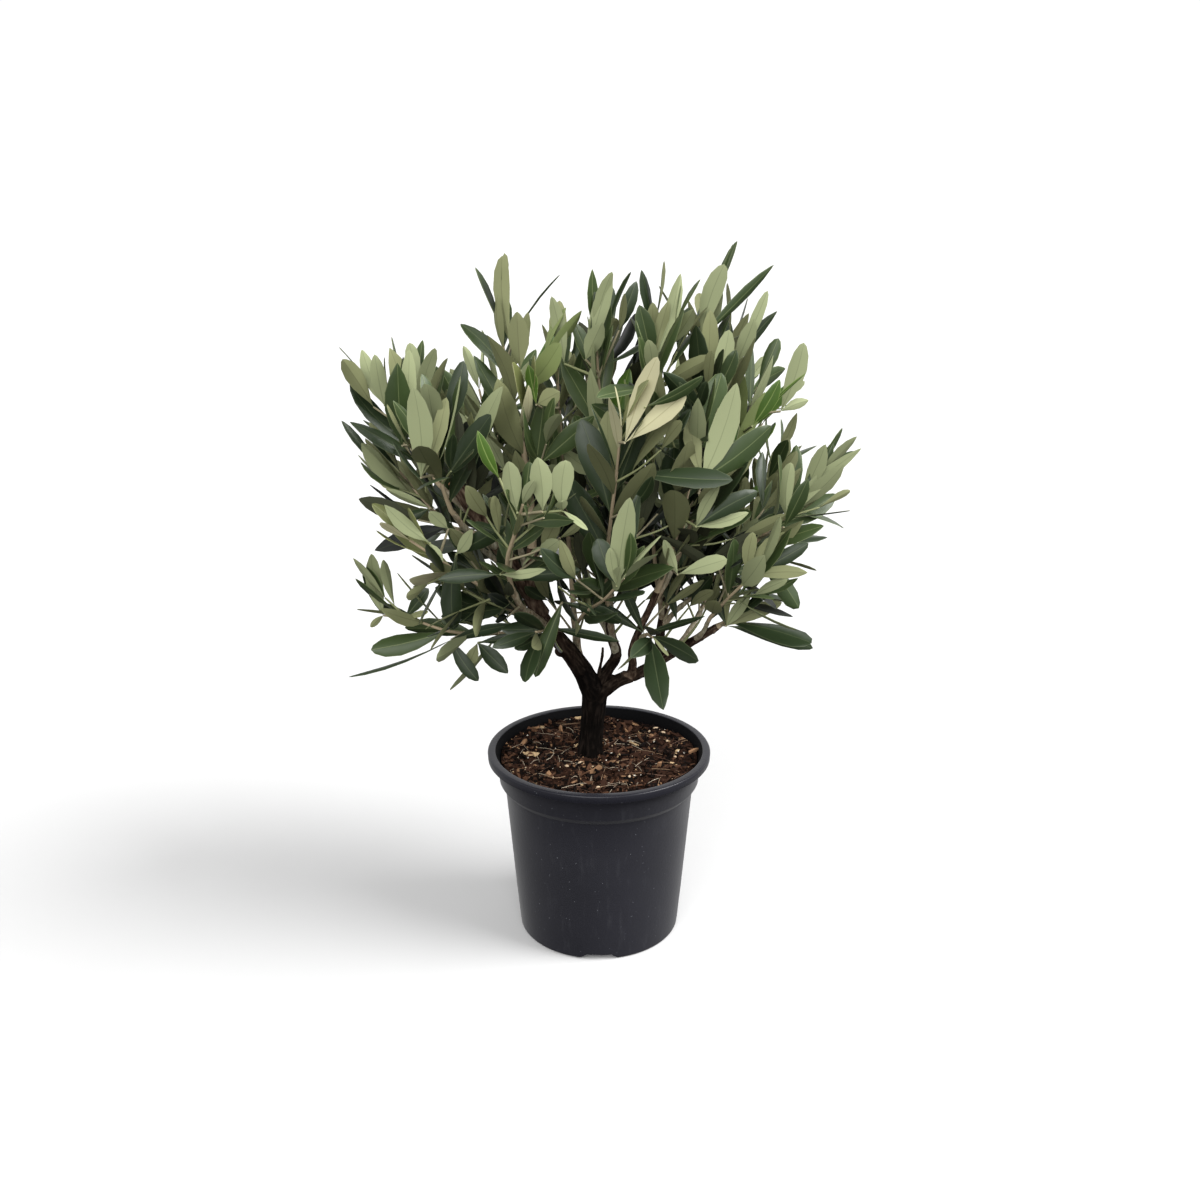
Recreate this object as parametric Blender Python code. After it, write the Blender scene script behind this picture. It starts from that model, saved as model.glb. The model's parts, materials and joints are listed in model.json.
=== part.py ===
"""Small olive tree in a black nursery pot, in metres, +Z up, origin under the middle of the pot."""

import math
import random
from collections import namedtuple

import bmesh
import bpy
from mathutils import Matrix, Vector, kdtree
from mathutils.geometry import interpolate_bezier

MM = 0.001
UP = Vector((0, 0, 1))
CLEAR = 0.3 * MM

# Pot: a turned thin shell with a rolled lip, taken from its rim diameter
RIM_DIAMETER = 150 * MM
POT_HEIGHT = 130 * MM
POT_WALL = 1.2 * MM
FLOOR_THICK = 1.5 * MM
FOOT_RADIUS = 54.8 * MM
FOOT_ROUND = 2.4 * MM
WALL_TOP_RADIUS = 63.6 * MM
WALL_TOP = 105 * MM
SHOULDER_RADIUS = 67.4 * MM
SHOULDER_FOOT = 109 * MM
SHOULDER_TOP_RADIUS = 68 * MM
SHOULDER_TOP = 123.4 * MM
BEAD_RADIUS = 68.8 * MM
BEAD_HEIGHT = 122.4 * MM
LIP_BOTTOM = 124.6 * MM
LIP_GROOVE_TOP = POT_HEIGHT - POT_WALL
LIP_NECK_RADIUS = 70.5 * MM
LIP_INNER_RADIUS = 69.8 * MM
LIP_ROUND = 1.2 * MM
TURN_STEPS = 32

# Drain channels: four, from notches in the foot to the flat disc in the middle
CHANNELS = 4
CHANNEL_HEIGHT = 4 * MM
CHANNEL_WIDTH = 32.5 * MM
CHANNEL_SLOPE = 8.25 * MM
CHANNEL_INNER = 24 * MM
RIDGE_OUTER = 54.15 * MM
RIDGE_SUNK = 0.2 * MM
END_CUTS = 5
DRAIN_RADIUS = 4 * MM
DRAIN_AT = 38 * MM

# Compost: fills the pot to just under its lip, a little higher at the stem
SOIL_EDGE_HEIGHT = 123.6 * MM
SOIL_MIDDLE_HEIGHT = 125 * MM
SOIL_FLAT_RADIUS = 22 * MM
SOIL_RINGS = 3
SOIL_ROUGH = 0.9 * MM
SOIL_SEED = 5

# Trunk: leans to the right, from its flared foot to the fork
TRUNK_FOOT = Vector((-6.4, 0, 125.3)) * MM
TRUNK_BEND = Vector((-4.4, 0, 150)) * MM
TRUNK_TOP = Vector((-2, 0, 176)) * MM
TRUNK_RADIUS = 7.3 * MM
TRUNK_TOP_RADIUS = 8.7 * MM
SPUR_FOOT = Vector((-1.5, -1, 168)) * MM
SPUR_TIP = Vector((2.5, -2, 202)) * MM
SPUR_RADIUS = 1.3 * MM
SPUR_TAPER = 0.54
SPUR_STEPS = 3
TRUNK_SIDES = 14
TRUNK_STEP = 4.64 * MM
FLARE = 1.1 * MM
FLARE_HEIGHT = 7 * MM
FLARE_LOBES = 5
FLARE_TURN = 0.6

# Boughs: tube sides by thickness, how far their middles wander and how soon they turn from their parent
BOUGH_STEP = 16 * MM
THICK_BOUGH = 3 * MM
THICK_SIDES = 8
THIN_SIDES = 5
COLLAR = 0.18
WANDER = 0.7 * MM
TURN_OUT = 1.6
FACET_ALLOWANCE = 1.15

# Foliage: one stem to a mass, opposite pairs of leaves a quarter turn apart, and side twigs
STEM_SIDES = 4
NECK = 3 * MM
STEM_TIP = 0.55 * MM
STEM_STEP = 30 * MM
TWIG_SIDES = 3
TWIG_RADIUS = 0.85 * MM
TWIG_STEP = 22 * MM
TWIG_SPREAD = 48
TWIG_SPREAD_VARIES = 10
TWIG_LENGTHS = (26 * MM, 46 * MM)
TWIG_LENGTH_LOW = 1.15
TWIG_LENGTH_LOSS = 0.5
TWIG_LOWEST = 0.16
TWIG_SHARE = 0.62
TWIG_TURN = 2.4
TWIG_TURN_VARIES = 0.4
TWIG_LIFT = 0.6
TWIG_UPTURN = 0.25
TWIG_BARE_FOOT = 12 * MM
STEM_TAPER = 0.7
INTERNODE = 15.8 * MM
BARE_FOOT = 8 * MM
ROOT_SUNK = 0.7
LEAF_STATIONS = (0.36, 0.72)
LEAF_TESTS = (0.2, 0.36, 0.52, 0.68, 0.84, 1)
LEAF_HALF_WIDTHS = (0.46, 0.45)
LEAF_EDGE = 0.45
LEAF_THICK = 0.02
LEAF_POINT = 0.1 * MM
LEAF_VARIES = 0.16
LEAF_WIDTHS = (0.22, 0.31)
LEAF_CURLS = (-30, 22)
LEAF_ROLL = 48
LEAF_TRIES = ((1, 1), (0.88, 0.72), (0.76, 0.5))
RING_HALF_WIDTH = math.cos(math.pi / 6)
SPREAD_LOW = 78
SPREAD_TOP = 17
SPREAD_VARIES = 9
DROOP_LOW = 0.3
SPACE_MARGIN = 3 * MM
LEAF_GAP = 4 * MM
LIMB_MARGIN = 2.6 * MM
LIMB_REACH = 14 * MM
AXIS_STEP = 3 * MM
SPIRE = 40 * MM

# Shading: the angle above which an edge stays sharp, in degrees
POT_SHARP = 28
BARK_SHARP = 80
TRUNK_SHARP = 60
LEAF_SHARP = 25

Bough = namedtuple("Bough", "name parent along via tip lift thick thin seed")
Mass = namedtuple("Mass", "name bough tip lift leaf turn rise twigs seed")

# Each row: its parent and how far up that it leaves it, the points it bends through and its tip (mm),
# how much the tip turns up, and its radius at the foot and the tip (mm)
BOUGHS = (
    Bough("limb_left", "trunk", 0.84, ((-20, -8, 202), (-36, -14, 226), (-43, -20, 256)),
          (-42, -19, 274), 0.4, 6.6, 3.2, 1),
    Bough("limb_centre", "trunk", 0.9, ((6, 5, 184), (11, 10, 193), (9, 12, 204)),
          (4, 20, 230), 0.2, 3.9, 2.5, 2),
    Bough("limb_right", "trunk", 0.82, ((13, 0, 178), (28, 0, 184), (45, 0, 196), (63, -2, 207)),
          (77, -4, 217), 0.3, 4.5, 2.3, 3),
    Bough("limb_cut", "limb_left", 0.6, (), (-89, -25, 318), 0, 4.9, 4.1, 5),
    Bough("limb_front", "limb_right", 0.3, ((21, -12, 203), (27, -21, 223)),
          (36, -33, 250), 0.3, 2.7, 2.1, 6),
    Bough("limb_upright", "limb_right", 0.48, ((41, 4, 213),),
          (45, 8, 238), 0.3, 3.1, 2.2, 7),
    Bough("bough_left_front", "limb_cut", 0.5, (), (-87, -47, 303), 0.9, 2.4, 1.7, 8),
    Bough("bough_left_high", "limb_cut", 0.72, (), (-98, -13, 312), 0.5, 2.2, 1.6, 9),
    Bough("bough_left_low", "limb_cut", 0.3, (), (-74, -8, 270), 0.4, 2.2, 1.5, 10),
    Bough("bough_left_under", "limb_left", 0.43, (), (-68, -40, 252), 0.2, 1.9, 1.4, 30),
    Bough("bough_low_left", "limb_left", 0.36, (), (-56, -30, 221), 0, 1.9, 1.5, 11),
    Bough("bough_front_left", "limb_left", 0.46, (), (-52, -56, 258), 0.7, 2.5, 1.9, 12),
    Bough("bough_mid_left", "limb_left", 0.17, (),
          (-17, 7, 230), 0.3, 2.7, 1.9, 13),
    Bough("bough_rear_left_low", "limb_left", 0.42, (), (-64, 28, 257), 0.4, 2.4, 1.6, 14),
    Bough("bough_rear_left_high", "limb_left", 0.68, (), (-54, 12, 276), 0.6, 2.2, 1.7, 15),
    Bough("bough_centre_high", "limb_centre", 0.62, (), (8, 4, 232), 0.6, 2, 1.6, 16),
    Bough("bough_rear_low", "limb_centre", 0.5, (), (-8, 42, 226), 0.3, 2.1, 1.7, 17),
    Bough("bough_rear_high", "limb_centre", 0.8, (), (-2, 38, 252), 0.6, 1.9, 1.6, 18),
    Bough("bough_front_centre", "bough_mid_left", 0.4, (), (-14, -28, 226), 0.2, 1.9, 1.4, 19),
    Bough("bough_front_mid", "limb_centre", 0.42, (), (6, -22, 232), 0.6, 2.1, 1.6, 20),
    Bough("bough_lower_front", "bough_front_centre", 0.55, (), (-26, -30, 224), -0.2, 1.3, 1.1, 21),
    Bough("bough_lower_right", "limb_front", 0.3, (), (29, -36, 222), 0.1, 1.3, 1.1, 22),
    Bough("bough_top_right", "limb_front", 0.8, (), (48, -32, 270), 0.8, 1.8, 1.5, 23),
    Bough("bough_right_high", "limb_upright", 0.74, (), (60, 2, 262), 0.5, 1.8, 1.5, 24),
    Bough("bough_far_right", "limb_upright", 0.5, (), (68, -8, 246), 0.2, 1.8, 1.4, 25),
    Bough("bough_right_mid", "limb_right", 0.82, (), (70, -18, 226), 0.6, 1.7, 1.3, 26),
    Bough("bough_rear_right_low", "limb_right", 0.62, (), (72, 26, 226), 0.4, 2, 1.5, 27),
    Bough("bough_rear_right", "limb_upright", 0.32, (), (43, 30, 228), 0.3, 2, 1.6, 28),
    Bough("bough_right_centre", "limb_upright", 0.6, (), (38, -5, 244), 0.7, 1.8, 1.5, 29),
)

# Each row: the bough that it grows on, its stem's tip (mm) and how much that turns up, its leaf
# length (mm), the turn of its first pair, how far its leaves lift to the sky, its twigs and its seed
MASSES = (
    Mass("foliage_upper_left", "limb_left", (-60, -10, 412), 0.1, 54, 10, 0.25, 2, 31),
    Mass("foliage_top_middle", "limb_centre", (6, 34, 396), 0.1, 50, 60, 0.25, 3, 32),
    Mass("foliage_right_low", "limb_right", (88, -12, 227), 0, 54, 70, 0.2, 0, 33),
    Mass("foliage_front_right", "limb_front", (58, -72, 356), 0.2, 60, 30, 0.3, 2, 34),
    Mass("foliage_rear_right_high", "limb_upright", (86, 54, 392), 0.2, 50, 80, 0.25, 3, 35),
    Mass("foliage_left_front", "bough_left_front", (-94, -63, 350), 0.1, 58, 40, 0.3, 2, 36),
    Mass("foliage_left_high", "bough_left_high", (-118, -14, 370), 0.4, 50, 15, 0.5, 3, 64),
    Mass("foliage_left_low", "bough_left_low", (-128, 14, 316), 0.5, 50, 70, 0.4, 2, 38),
    Mass("foliage_left_under", "bough_left_under", (-112, -60, 290), 0.2, 48, 62, 0.05, 1, 58),
    Mass("foliage_low_left", "bough_low_left", (-122, -45, 239), 0.9, 45, 85, 0.1, 1, 39),
    Mass("foliage_front_left", "bough_front_left", (-42, -104, 322), 0, 32, 25, 0.3, 2, 40),
    Mass("foliage_mid_left_high", "bough_mid_left", (-27, 22, 386), 0.1, 50, 35, 0.25, 3, 41),
    Mass("foliage_rear_left_low", "bough_rear_left_low", (-102, 84, 296), 0.5, 52, 50, 0.2, 3, 42),
    Mass("foliage_rear_left_high", "bough_rear_left_high", (-80, 62, 362), 0.1, 52, 20, 0.25, 3, 43),
    Mass("foliage_centre_high", "bough_centre_high", (-2, -14, 406), 0.1, 52, 65, 0.25, 3, 44),
    Mass("foliage_rear_low", "bough_rear_low", (-34, 114, 264), 0.5, 52, 75, 0.12, 3, 45),
    Mass("foliage_rear_high", "bough_rear_high", (-26, 98, 376), 0.1, 52, 5, 0.25, 3, 46),
    Mass("foliage_front_centre", "bough_front_centre", (14, -98, 278), 0.3, 48, 45, 0.3, 2, 47),
    Mass("foliage_front_mid", "bough_front_mid", (12, -92, 362), 0.1, 54, 55, 0.3, 3, 48),
    Mass("foliage_lower_front", "bough_lower_front", (-38, -64, 234), -0.3, 48, 15, -0.15, 0, 49),
    Mass("foliage_lower_right", "bough_lower_right", (32, -68, 232), -0.1, 48, 0, -0.15, 0, 50),
    Mass("foliage_top_right", "bough_top_right", (66, -17, 420), 0.2, 54, 12, 0.25, 3, 51),
    Mass("foliage_right_high", "bough_right_high", (98, 0, 372), 0.2, 54, 48, 0.25, 3, 52),
    Mass("foliage_far_right", "bough_far_right", (134, -26, 322), 0.3, 54, 66, 0.3, 2, 53),
    Mass("foliage_right_mid", "bough_right_mid", (96, -54, 270), 0.2, 50, 28, 0.2, 2, 54),
    Mass("foliage_rear_right_low", "bough_rear_right_low", (116, 74, 290), 0.4, 52, 33, 0.25, 2, 55),
    Mass("foliage_rear_right", "bough_rear_right", (50, 112, 290), 0.5, 52, 58, 0.15, 3, 56),
    Mass("foliage_right_centre", "bough_right_centre", (32, -34, 410), 0.1, 54, 18, 0.25, 4, 57),
)


def clear_scene():
    for item in list(bpy.data.objects):
        bpy.data.objects.remove(item, do_unlink=True)


def make_material(name, colour, roughness):
    material = bpy.data.materials.new(name)
    material.use_nodes = True
    shader = material.node_tree.nodes["Principled BSDF"]
    shader.inputs["Base Color"].default_value = (*colour, 1)
    shader.inputs["Roughness"].default_value = roughness
    shader.inputs["Metallic"].default_value = 0
    material.diffuse_color = (*colour, 1)
    return material


def make_object(name, bm, material=None, smooth_angle=35):
    """One object from a bmesh, with its faces turned outwards."""
    bmesh.ops.recalc_face_normals(bm, faces=bm.faces)
    mesh = bpy.data.meshes.new(name)
    bm.to_mesh(mesh)
    bm.free()
    made = bpy.data.objects.new(name, mesh)
    bpy.context.scene.collection.objects.link(made)
    if material:
        mesh.materials.append(material)
        mesh.shade_smooth()
        mesh.set_sharp_from_angle(angle=math.radians(smooth_angle))
    return made


def use_boolean(target, operation, others):
    """Join or cut target with a collection of other objects, apply it and remove them."""
    helpers = bpy.data.collections.new("helpers")
    for other in others:
        helpers.objects.link(other)
    cut = target.modifiers.new("boolean", "BOOLEAN")
    cut.operation = operation
    cut.solver = "EXACT"
    cut.operand_type = "COLLECTION"
    cut.collection = helpers
    depsgraph = bpy.context.evaluated_depsgraph_get()
    result = bpy.data.meshes.new_from_object(target.evaluated_get(depsgraph))
    target.modifiers.clear()
    target.data = result
    for other in others:
        bpy.data.objects.remove(other, do_unlink=True)
    bpy.data.collections.remove(helpers)


def keep_main_body(target):
    """Drop loose scraps and sealed hollows, which are separate shells in the mesh."""
    bm = bmesh.new()
    bm.from_mesh(target.data)
    unseen = set(bm.verts)
    shells = []
    while unseen:
        shell = set()
        edge_of_search = [next(iter(unseen))]
        while edge_of_search:
            vert = edge_of_search.pop()
            if vert in shell:
                continue
            shell.add(vert)
            edge_of_search += [edge.other_vert(vert) for edge in vert.link_edges]
        unseen -= shell
        shells.append(shell)
    shells.sort(key=len)
    for shell in shells[:-1]:
        bmesh.ops.delete(bm, geom=list(shell), context="VERTS")
    bm.to_mesh(target.data)
    bm.free()


def frames_along(path):
    """A frame at each point of a path, its Z along the path, turning no more than the path does."""
    frames = []
    rotation = None
    heading = None
    for k, point in enumerate(path):
        ahead = (path[min(k + 1, len(path) - 1)] - path[max(k - 1, 0)]).normalized()
        if rotation is None:
            rotation = ahead.to_track_quat("Z", "Y")
        else:
            rotation = heading.rotation_difference(ahead) @ rotation
        heading = ahead
        frames.append(Matrix.Translation(point) @ rotation.to_matrix().to_4x4())
    return frames


def loft(frames, sizes, sides):
    """A closed tube of sides faces through frames, with a half width and half depth at each."""
    places = [frame @ Matrix.Diagonal((wide, deep, 1, 1)) for frame, (wide, deep) in zip(frames, sizes)]
    bm = bmesh.new()
    bmesh.ops.create_circle(bm, cap_ends=True, segments=sides, radius=1)
    bmesh.ops.transform(bm, matrix=places[0], verts=bm.verts)
    cap = next(iter(bm.faces))
    for before, after in zip(places, places[1:]):
        cap = bmesh.ops.extrude_discrete_faces(bm, faces=[cap])["faces"][0]
        bmesh.ops.transform(bm, matrix=after @ before.inverted(), verts=cap.verts)
    bmesh.ops.holes_fill(bm, edges=bm.edges, sides=sides)
    return bm


def tube(name, path, radii, sides, material=None):
    sizes = [(radius, radius) for radius in radii]
    return make_object(name, loft(frames_along(path), sizes, sides), material, BARK_SHARP)


def smooth_path(points, leave, lift, step):
    """Points along one smooth curve through points, which leaves along leave and turns up by lift."""
    last = len(points) - 1
    headings = [(points[min(k + 1, last)] - points[max(k - 1, 0)]).normalized() for k in range(last + 1)]
    headings[0] = leave
    headings[-1] = (headings[-1] + UP * lift).normalized()
    path = []
    for k in range(last):
        span = (points[k + 1] - points[k]).length
        near = points[k] + headings[k] * span / 3
        far = points[k + 1] - headings[k + 1] * span / 3
        count = max(2, round(span / step) + 1)
        path += interpolate_bezier(points[k], near, far, points[k + 1], count)[:-1]
    return path + [points[-1].copy()]


def lengths_along(path):
    lengths = [0]
    for before, after in zip(path, path[1:]):
        lengths.append(lengths[-1] + (after - before).length)
    return lengths


def point_at(path, share):
    """The point and heading at a share of a path's length."""
    lengths = lengths_along(path)
    wanted = share * lengths[-1]
    for k in range(1, len(path)):
        if lengths[k] >= wanted or k == len(path) - 1:
            part = (wanted - lengths[k - 1]) / (lengths[k] - lengths[k - 1])
            heading = (path[k] - path[k - 1]).normalized()
            return path[k - 1].lerp(path[k], part), heading


def axis_points(path):
    """Points a few millimetres apart along a path."""
    steps = max(1, round(lengths_along(path)[-1] / AXIS_STEP))
    return [point_at(path, k / steps)[0] for k in range(steps + 1)]


def arc(centre_x, centre_z, radius, start, end, steps):
    """Profile points on an arc, by angles in degrees from +X."""
    points = []
    for k in range(steps + 1):
        angle = math.radians(start + (end - start) * k / steps)
        points.append((centre_x + radius * math.cos(angle), centre_z + radius * math.sin(angle)))
    return points


def turned(name, profile, material=None):
    """A closed body turned about the Z axis from a profile of radius and height."""
    bm = bmesh.new()
    verts = [bm.verts.new((radius, 0, height)) for radius, height in profile]
    edges = [bm.edges.new(pair) for pair in zip(verts, verts[1:])]
    bmesh.ops.spin(bm, geom=verts + edges, axis=UP, cent=(0, 0, 0), angle=math.tau,
                   steps=TURN_STEPS, use_merge=True)
    bmesh.ops.remove_doubles(bm, verts=bm.verts, dist=1e-6)
    return make_object(name, bm, material)


def wall_radius(height):
    """The wall's outer radius, which grows evenly from the foot to its top."""
    return FOOT_RADIUS + (WALL_TOP_RADIUS - FOOT_RADIUS) * height / WALL_TOP


def shoulder_radius(height):
    """The shoulder band's outer radius, between its foot and its top."""
    share = (height - SHOULDER_FOOT) / (SHOULDER_TOP - SHOULDER_FOOT)
    return SHOULDER_RADIUS + (SHOULDER_TOP_RADIUS - SHOULDER_RADIUS) * share


def pot_profile():
    rim = RIM_DIAMETER / 2
    skirt = rim - POT_WALL
    outside = [(0, 0), (FOOT_RADIUS - FOOT_ROUND, 0)]
    outside += arc(FOOT_RADIUS - FOOT_ROUND, FOOT_ROUND, FOOT_ROUND, -60, 0, 2)
    outside += [
        (WALL_TOP_RADIUS, WALL_TOP),
        (SHOULDER_RADIUS, SHOULDER_FOOT),
        (shoulder_radius(BEAD_HEIGHT - MM), BEAD_HEIGHT - MM),
        (BEAD_RADIUS, BEAD_HEIGHT),
        (SHOULDER_TOP_RADIUS, SHOULDER_TOP),
        (LIP_NECK_RADIUS, LIP_GROOVE_TOP),
        (skirt, LIP_GROOVE_TOP),
        (skirt, LIP_BOTTOM),
        (rim - 0.3 * MM, LIP_BOTTOM),
    ]
    lip = arc(rim - LIP_ROUND, POT_HEIGHT - LIP_ROUND, LIP_ROUND, 0, 90, 2)
    lip += arc(LIP_INNER_RADIUS + LIP_ROUND / 2, POT_HEIGHT - LIP_ROUND / 2, LIP_ROUND / 2, 90, 180, 2)
    inner_shoulder = [
        (LIP_NECK_RADIUS - POT_WALL, LIP_GROOVE_TOP),
        (SHOULDER_TOP_RADIUS - POT_WALL, SHOULDER_TOP),
        (SHOULDER_RADIUS - POT_WALL, SHOULDER_FOOT),
    ]
    return outside + lip + inner_shoulder + inside_profile(0)


def inside_profile(gap):
    """The inner wall and floor from the wall's top to the axis, or a gap inside them."""
    wall = POT_WALL + gap
    floor = FLOOR_THICK + gap
    return [
        (WALL_TOP_RADIUS - wall, WALL_TOP),
        (wall_radius(floor) - wall, floor),
        (0, floor),
    ]


def radial_prism(name, inner, outer, height, width, slope, base, turn):
    """A bar along a radius: its sides lean in by slope, and its outer end follows the outer circle."""
    bm = bmesh.new()
    bmesh.ops.create_cube(bm, size=1)
    across = [edge for edge in bm.edges if edge.verts[0].co.y * edge.verts[1].co.y < 0]
    bmesh.ops.subdivide_edges(bm, edges=across, cuts=END_CUTS, use_grid_fill=True)
    for vert in bm.verts:
        half = width / 2 - (slope if vert.co.z > 0 else 0)
        side = 2 * half * vert.co.y
        vert.co = Vector((
            math.sqrt(outer ** 2 - side ** 2) if vert.co.x > 0 else inner,
            side,
            height if vert.co.z > 0 else base,
        ))
    bmesh.ops.rotate(bm, matrix=Matrix.Rotation(turn, 3, "Z"), verts=bm.verts)
    return make_object(name, bm)


def channel_turns():
    return [math.tau * (k / CHANNELS - 0.25) for k in range(CHANNELS)]


def ridges(gap):
    """The raised floor over each drain channel, or its shape grown by a gap."""
    made = []
    for k, turn in enumerate(channel_turns()):
        width = CHANNEL_WIDTH + 2 * (POT_WALL + gap)
        height = CHANNEL_HEIGHT + FLOOR_THICK + gap
        inner = CHANNEL_INNER - POT_WALL - gap
        made.append(radial_prism(f"ridge_{k}", inner, RIDGE_OUTER + 10 * gap, height, width,
                                 CHANNEL_SLOPE, FLOOR_THICK - RIDGE_SUNK, turn))
    return made


def drains():
    """The channels under the floor and the round hole through each one's roof."""
    made = []
    for k, turn in enumerate(channel_turns()):
        made.append(radial_prism(f"channel_{k}", CHANNEL_INNER, RIM_DIAMETER, CHANNEL_HEIGHT,
                                 CHANNEL_WIDTH, CHANNEL_SLOPE, -FLOOR_THICK, turn))
        bm = bmesh.new()
        middle = Matrix.Rotation(turn, 4, "Z") @ Matrix.Translation((DRAIN_AT, 0, CHANNEL_HEIGHT))
        bmesh.ops.create_cone(bm, cap_ends=True, segments=12, radius1=DRAIN_RADIUS,
                              radius2=DRAIN_RADIUS, depth=2 * CHANNEL_HEIGHT, matrix=middle)
        made.append(make_object(f"drain_{k}", bm))
    return made


def make_pot(material):
    pot = turned("pot", pot_profile(), material)
    use_boolean(pot, "UNION", ridges(0))
    use_boolean(pot, "DIFFERENCE", drains())
    pot.data.shade_smooth()
    pot.data.set_sharp_from_angle(angle=math.radians(POT_SHARP))
    return pot


def make_soil(material):
    """The compost: the pot's inside less a small gap, under a slightly crowned, uneven top."""
    draw = random.Random(SOIL_SEED)
    edge = shoulder_radius(SOIL_EDGE_HEIGHT) - POT_WALL - CLEAR
    top = []
    for k in range(SOIL_RINGS):
        share = k / SOIL_RINGS
        drop = (SOIL_MIDDLE_HEIGHT - SOIL_EDGE_HEIGHT) * share ** 2
        top.append((SOIL_FLAT_RADIUS + (edge - SOIL_FLAT_RADIUS) * share, SOIL_MIDDLE_HEIGHT - drop))
    profile = [(0, SOIL_MIDDLE_HEIGHT)] + top
    profile += [(edge, SOIL_EDGE_HEIGHT), (SHOULDER_RADIUS - POT_WALL - CLEAR, SHOULDER_FOOT)]
    soil = turned("soil", profile + inside_profile(CLEAR), material)
    for vert in soil.data.vertices:
        away = vert.co.xy.length
        if vert.co.z > SOIL_EDGE_HEIGHT + 0.1 * MM and away > SOIL_FLAT_RADIUS + MM:
            vert.co.z += draw.uniform(-SOIL_ROUGH, SOIL_ROUGH)
    use_boolean(soil, "DIFFERENCE", ridges(CLEAR))
    return soil


def trunk_radius(height):
    """Widest at the foot, where it flares, then even, and a little wider again under the fork."""
    share = height / (TRUNK_TOP.z - TRUNK_FOOT.z)
    swell = (TRUNK_TOP_RADIUS - TRUNK_RADIUS) * share ** 3
    return TRUNK_RADIUS + swell + FLARE * 0.5 * math.exp(-height / FLARE_HEIGHT)


def trunk_path():
    lean = (TRUNK_BEND - TRUNK_FOOT).normalized()
    return smooth_path([TRUNK_FOOT, TRUNK_BEND, TRUNK_TOP], lean, 0, TRUNK_STEP)


def grow_trunk(name, extra, material=None):
    """The trunk, or a copy that is thicker by extra, with lobes where the roots spread."""
    path = trunk_path()
    path[0].z -= extra
    path[-1].z += extra
    radii = [trunk_radius(point.z - TRUNK_FOOT.z) + extra for point in path]
    frames = [Matrix.Translation(point) for point in path]
    bm = loft(frames, [(radius, radius) for radius in radii], TRUNK_SIDES)
    for vert in bm.verts:
        height = vert.co.z - TRUNK_FOOT.z
        out = Vector((vert.co.x - TRUNK_FOOT.x, vert.co.y, 0)).normalized()
        lobe = 0.5 + 0.5 * math.cos(FLARE_LOBES * math.atan2(out.y, out.x) + FLARE_TURN)
        vert.co += out * FLARE * lobe * math.exp(-height / FLARE_HEIGHT)
    trunk = make_object(name, bm, material, TRUNK_SHARP)
    shares = [k / SPUR_STEPS for k in range(SPUR_STEPS + 1)]
    spur_path = [SPUR_FOOT.lerp(SPUR_TIP, share) for share in shares]
    spur_radii = [SPUR_RADIUS * (1 - SPUR_TAPER * share) + extra for share in shares]
    use_boolean(trunk, "UNION", [tube("spur", spur_path, spur_radii, THIN_SIDES)])
    return trunk


def bough_paths():
    """Every bough's path and radii, each starting on its parent's axis."""
    grown = {"trunk": (trunk_path(), [])}
    for row in BOUGHS:
        start, heading = point_at(grown[row.parent][0], row.along)
        points = [start] + [Vector(point) * MM for point in row.via + (row.tip,)]
        leave = (heading + TURN_OUT * (points[1] - start).normalized()).normalized()
        path = smooth_path(points, leave, row.lift, BOUGH_STEP)
        draw = random.Random(row.seed)
        for point in path[2:-1]:
            point += Vector([draw.uniform(-WANDER, WANDER) for _ in range(3)])
        lengths = lengths_along(path)
        radii = []
        for length in lengths:
            share = length / lengths[-1]
            collar = 1 + COLLAR * math.exp(-length / (2 * row.thick * MM))
            radii.append((row.thick + (row.thin - row.thick) * share) * collar * MM)
        grown[row.name] = (path, radii)
    return grown


def make_boughs(grown, old, young):
    """Every bough, cut 0.3 mm clear of its parent and of earlier boughs that leave nearby."""
    for k, row in enumerate(BOUGHS):
        path, radii = grown[row.name]
        sides = THICK_SIDES if row.thick > THICK_BOUGH / MM else THIN_SIDES
        finish = old if row.name.startswith("limb") else young
        bough = tube(row.name, path, radii, sides, finish)
        cutters = []
        for name in [row.parent] + [other.name for other in BOUGHS[:k] if other.parent == row.parent]:
            cutters.append(thicker_copy(name, grown))
        use_boolean(bough, "DIFFERENCE", cutters)
        keep_main_body(bough)
        bough.data.set_sharp_from_angle(angle=math.radians(BARK_SHARP))


def thicker_copy(name, grown):
    if name == "trunk":
        return grow_trunk("cutter_trunk", CLEAR)
    row = next(row for row in BOUGHS if row.name == name)
    path, radii = grown[name]
    sides = THICK_SIDES if row.thick > THICK_BOUGH / MM else THIN_SIDES
    tip = path[-1] + (path[-1] - path[-2]).normalized() * CLEAR
    sizes = [radius + CLEAR * FACET_ALLOWANCE for radius in radii]
    return tube("cutter_" + name, path[:-1] + [tip], sizes, sides)


def stem_paths(grown):
    """Every mass's stem, on from its bough's tip and 0.3 mm clear of it."""
    stems = {}
    for row in MASSES:
        path = grown[row.bough][0]
        heading = (path[-1] - path[-2]).normalized()
        start = path[-1] + heading * CLEAR
        neck = start + heading * NECK
        stem = smooth_path([neck, Vector(row.tip) * MM], heading, row.lift, STEM_STEP)
        stems[row.name] = [start] + stem
    return stems


def index_spaces(stems):
    """All stems' points in one tree, with each one's mass. A mass owns what its own stem is nearest."""
    owners = []
    points = []
    for name, path in stems.items():
        heading = (path[-1] - path[-2]).normalized()
        spire = path + [path[-1] + heading * SPIRE]
        for point in axis_points(spire):
            owners.append(name)
            points.append(point)
    return index_points(points), owners


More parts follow.
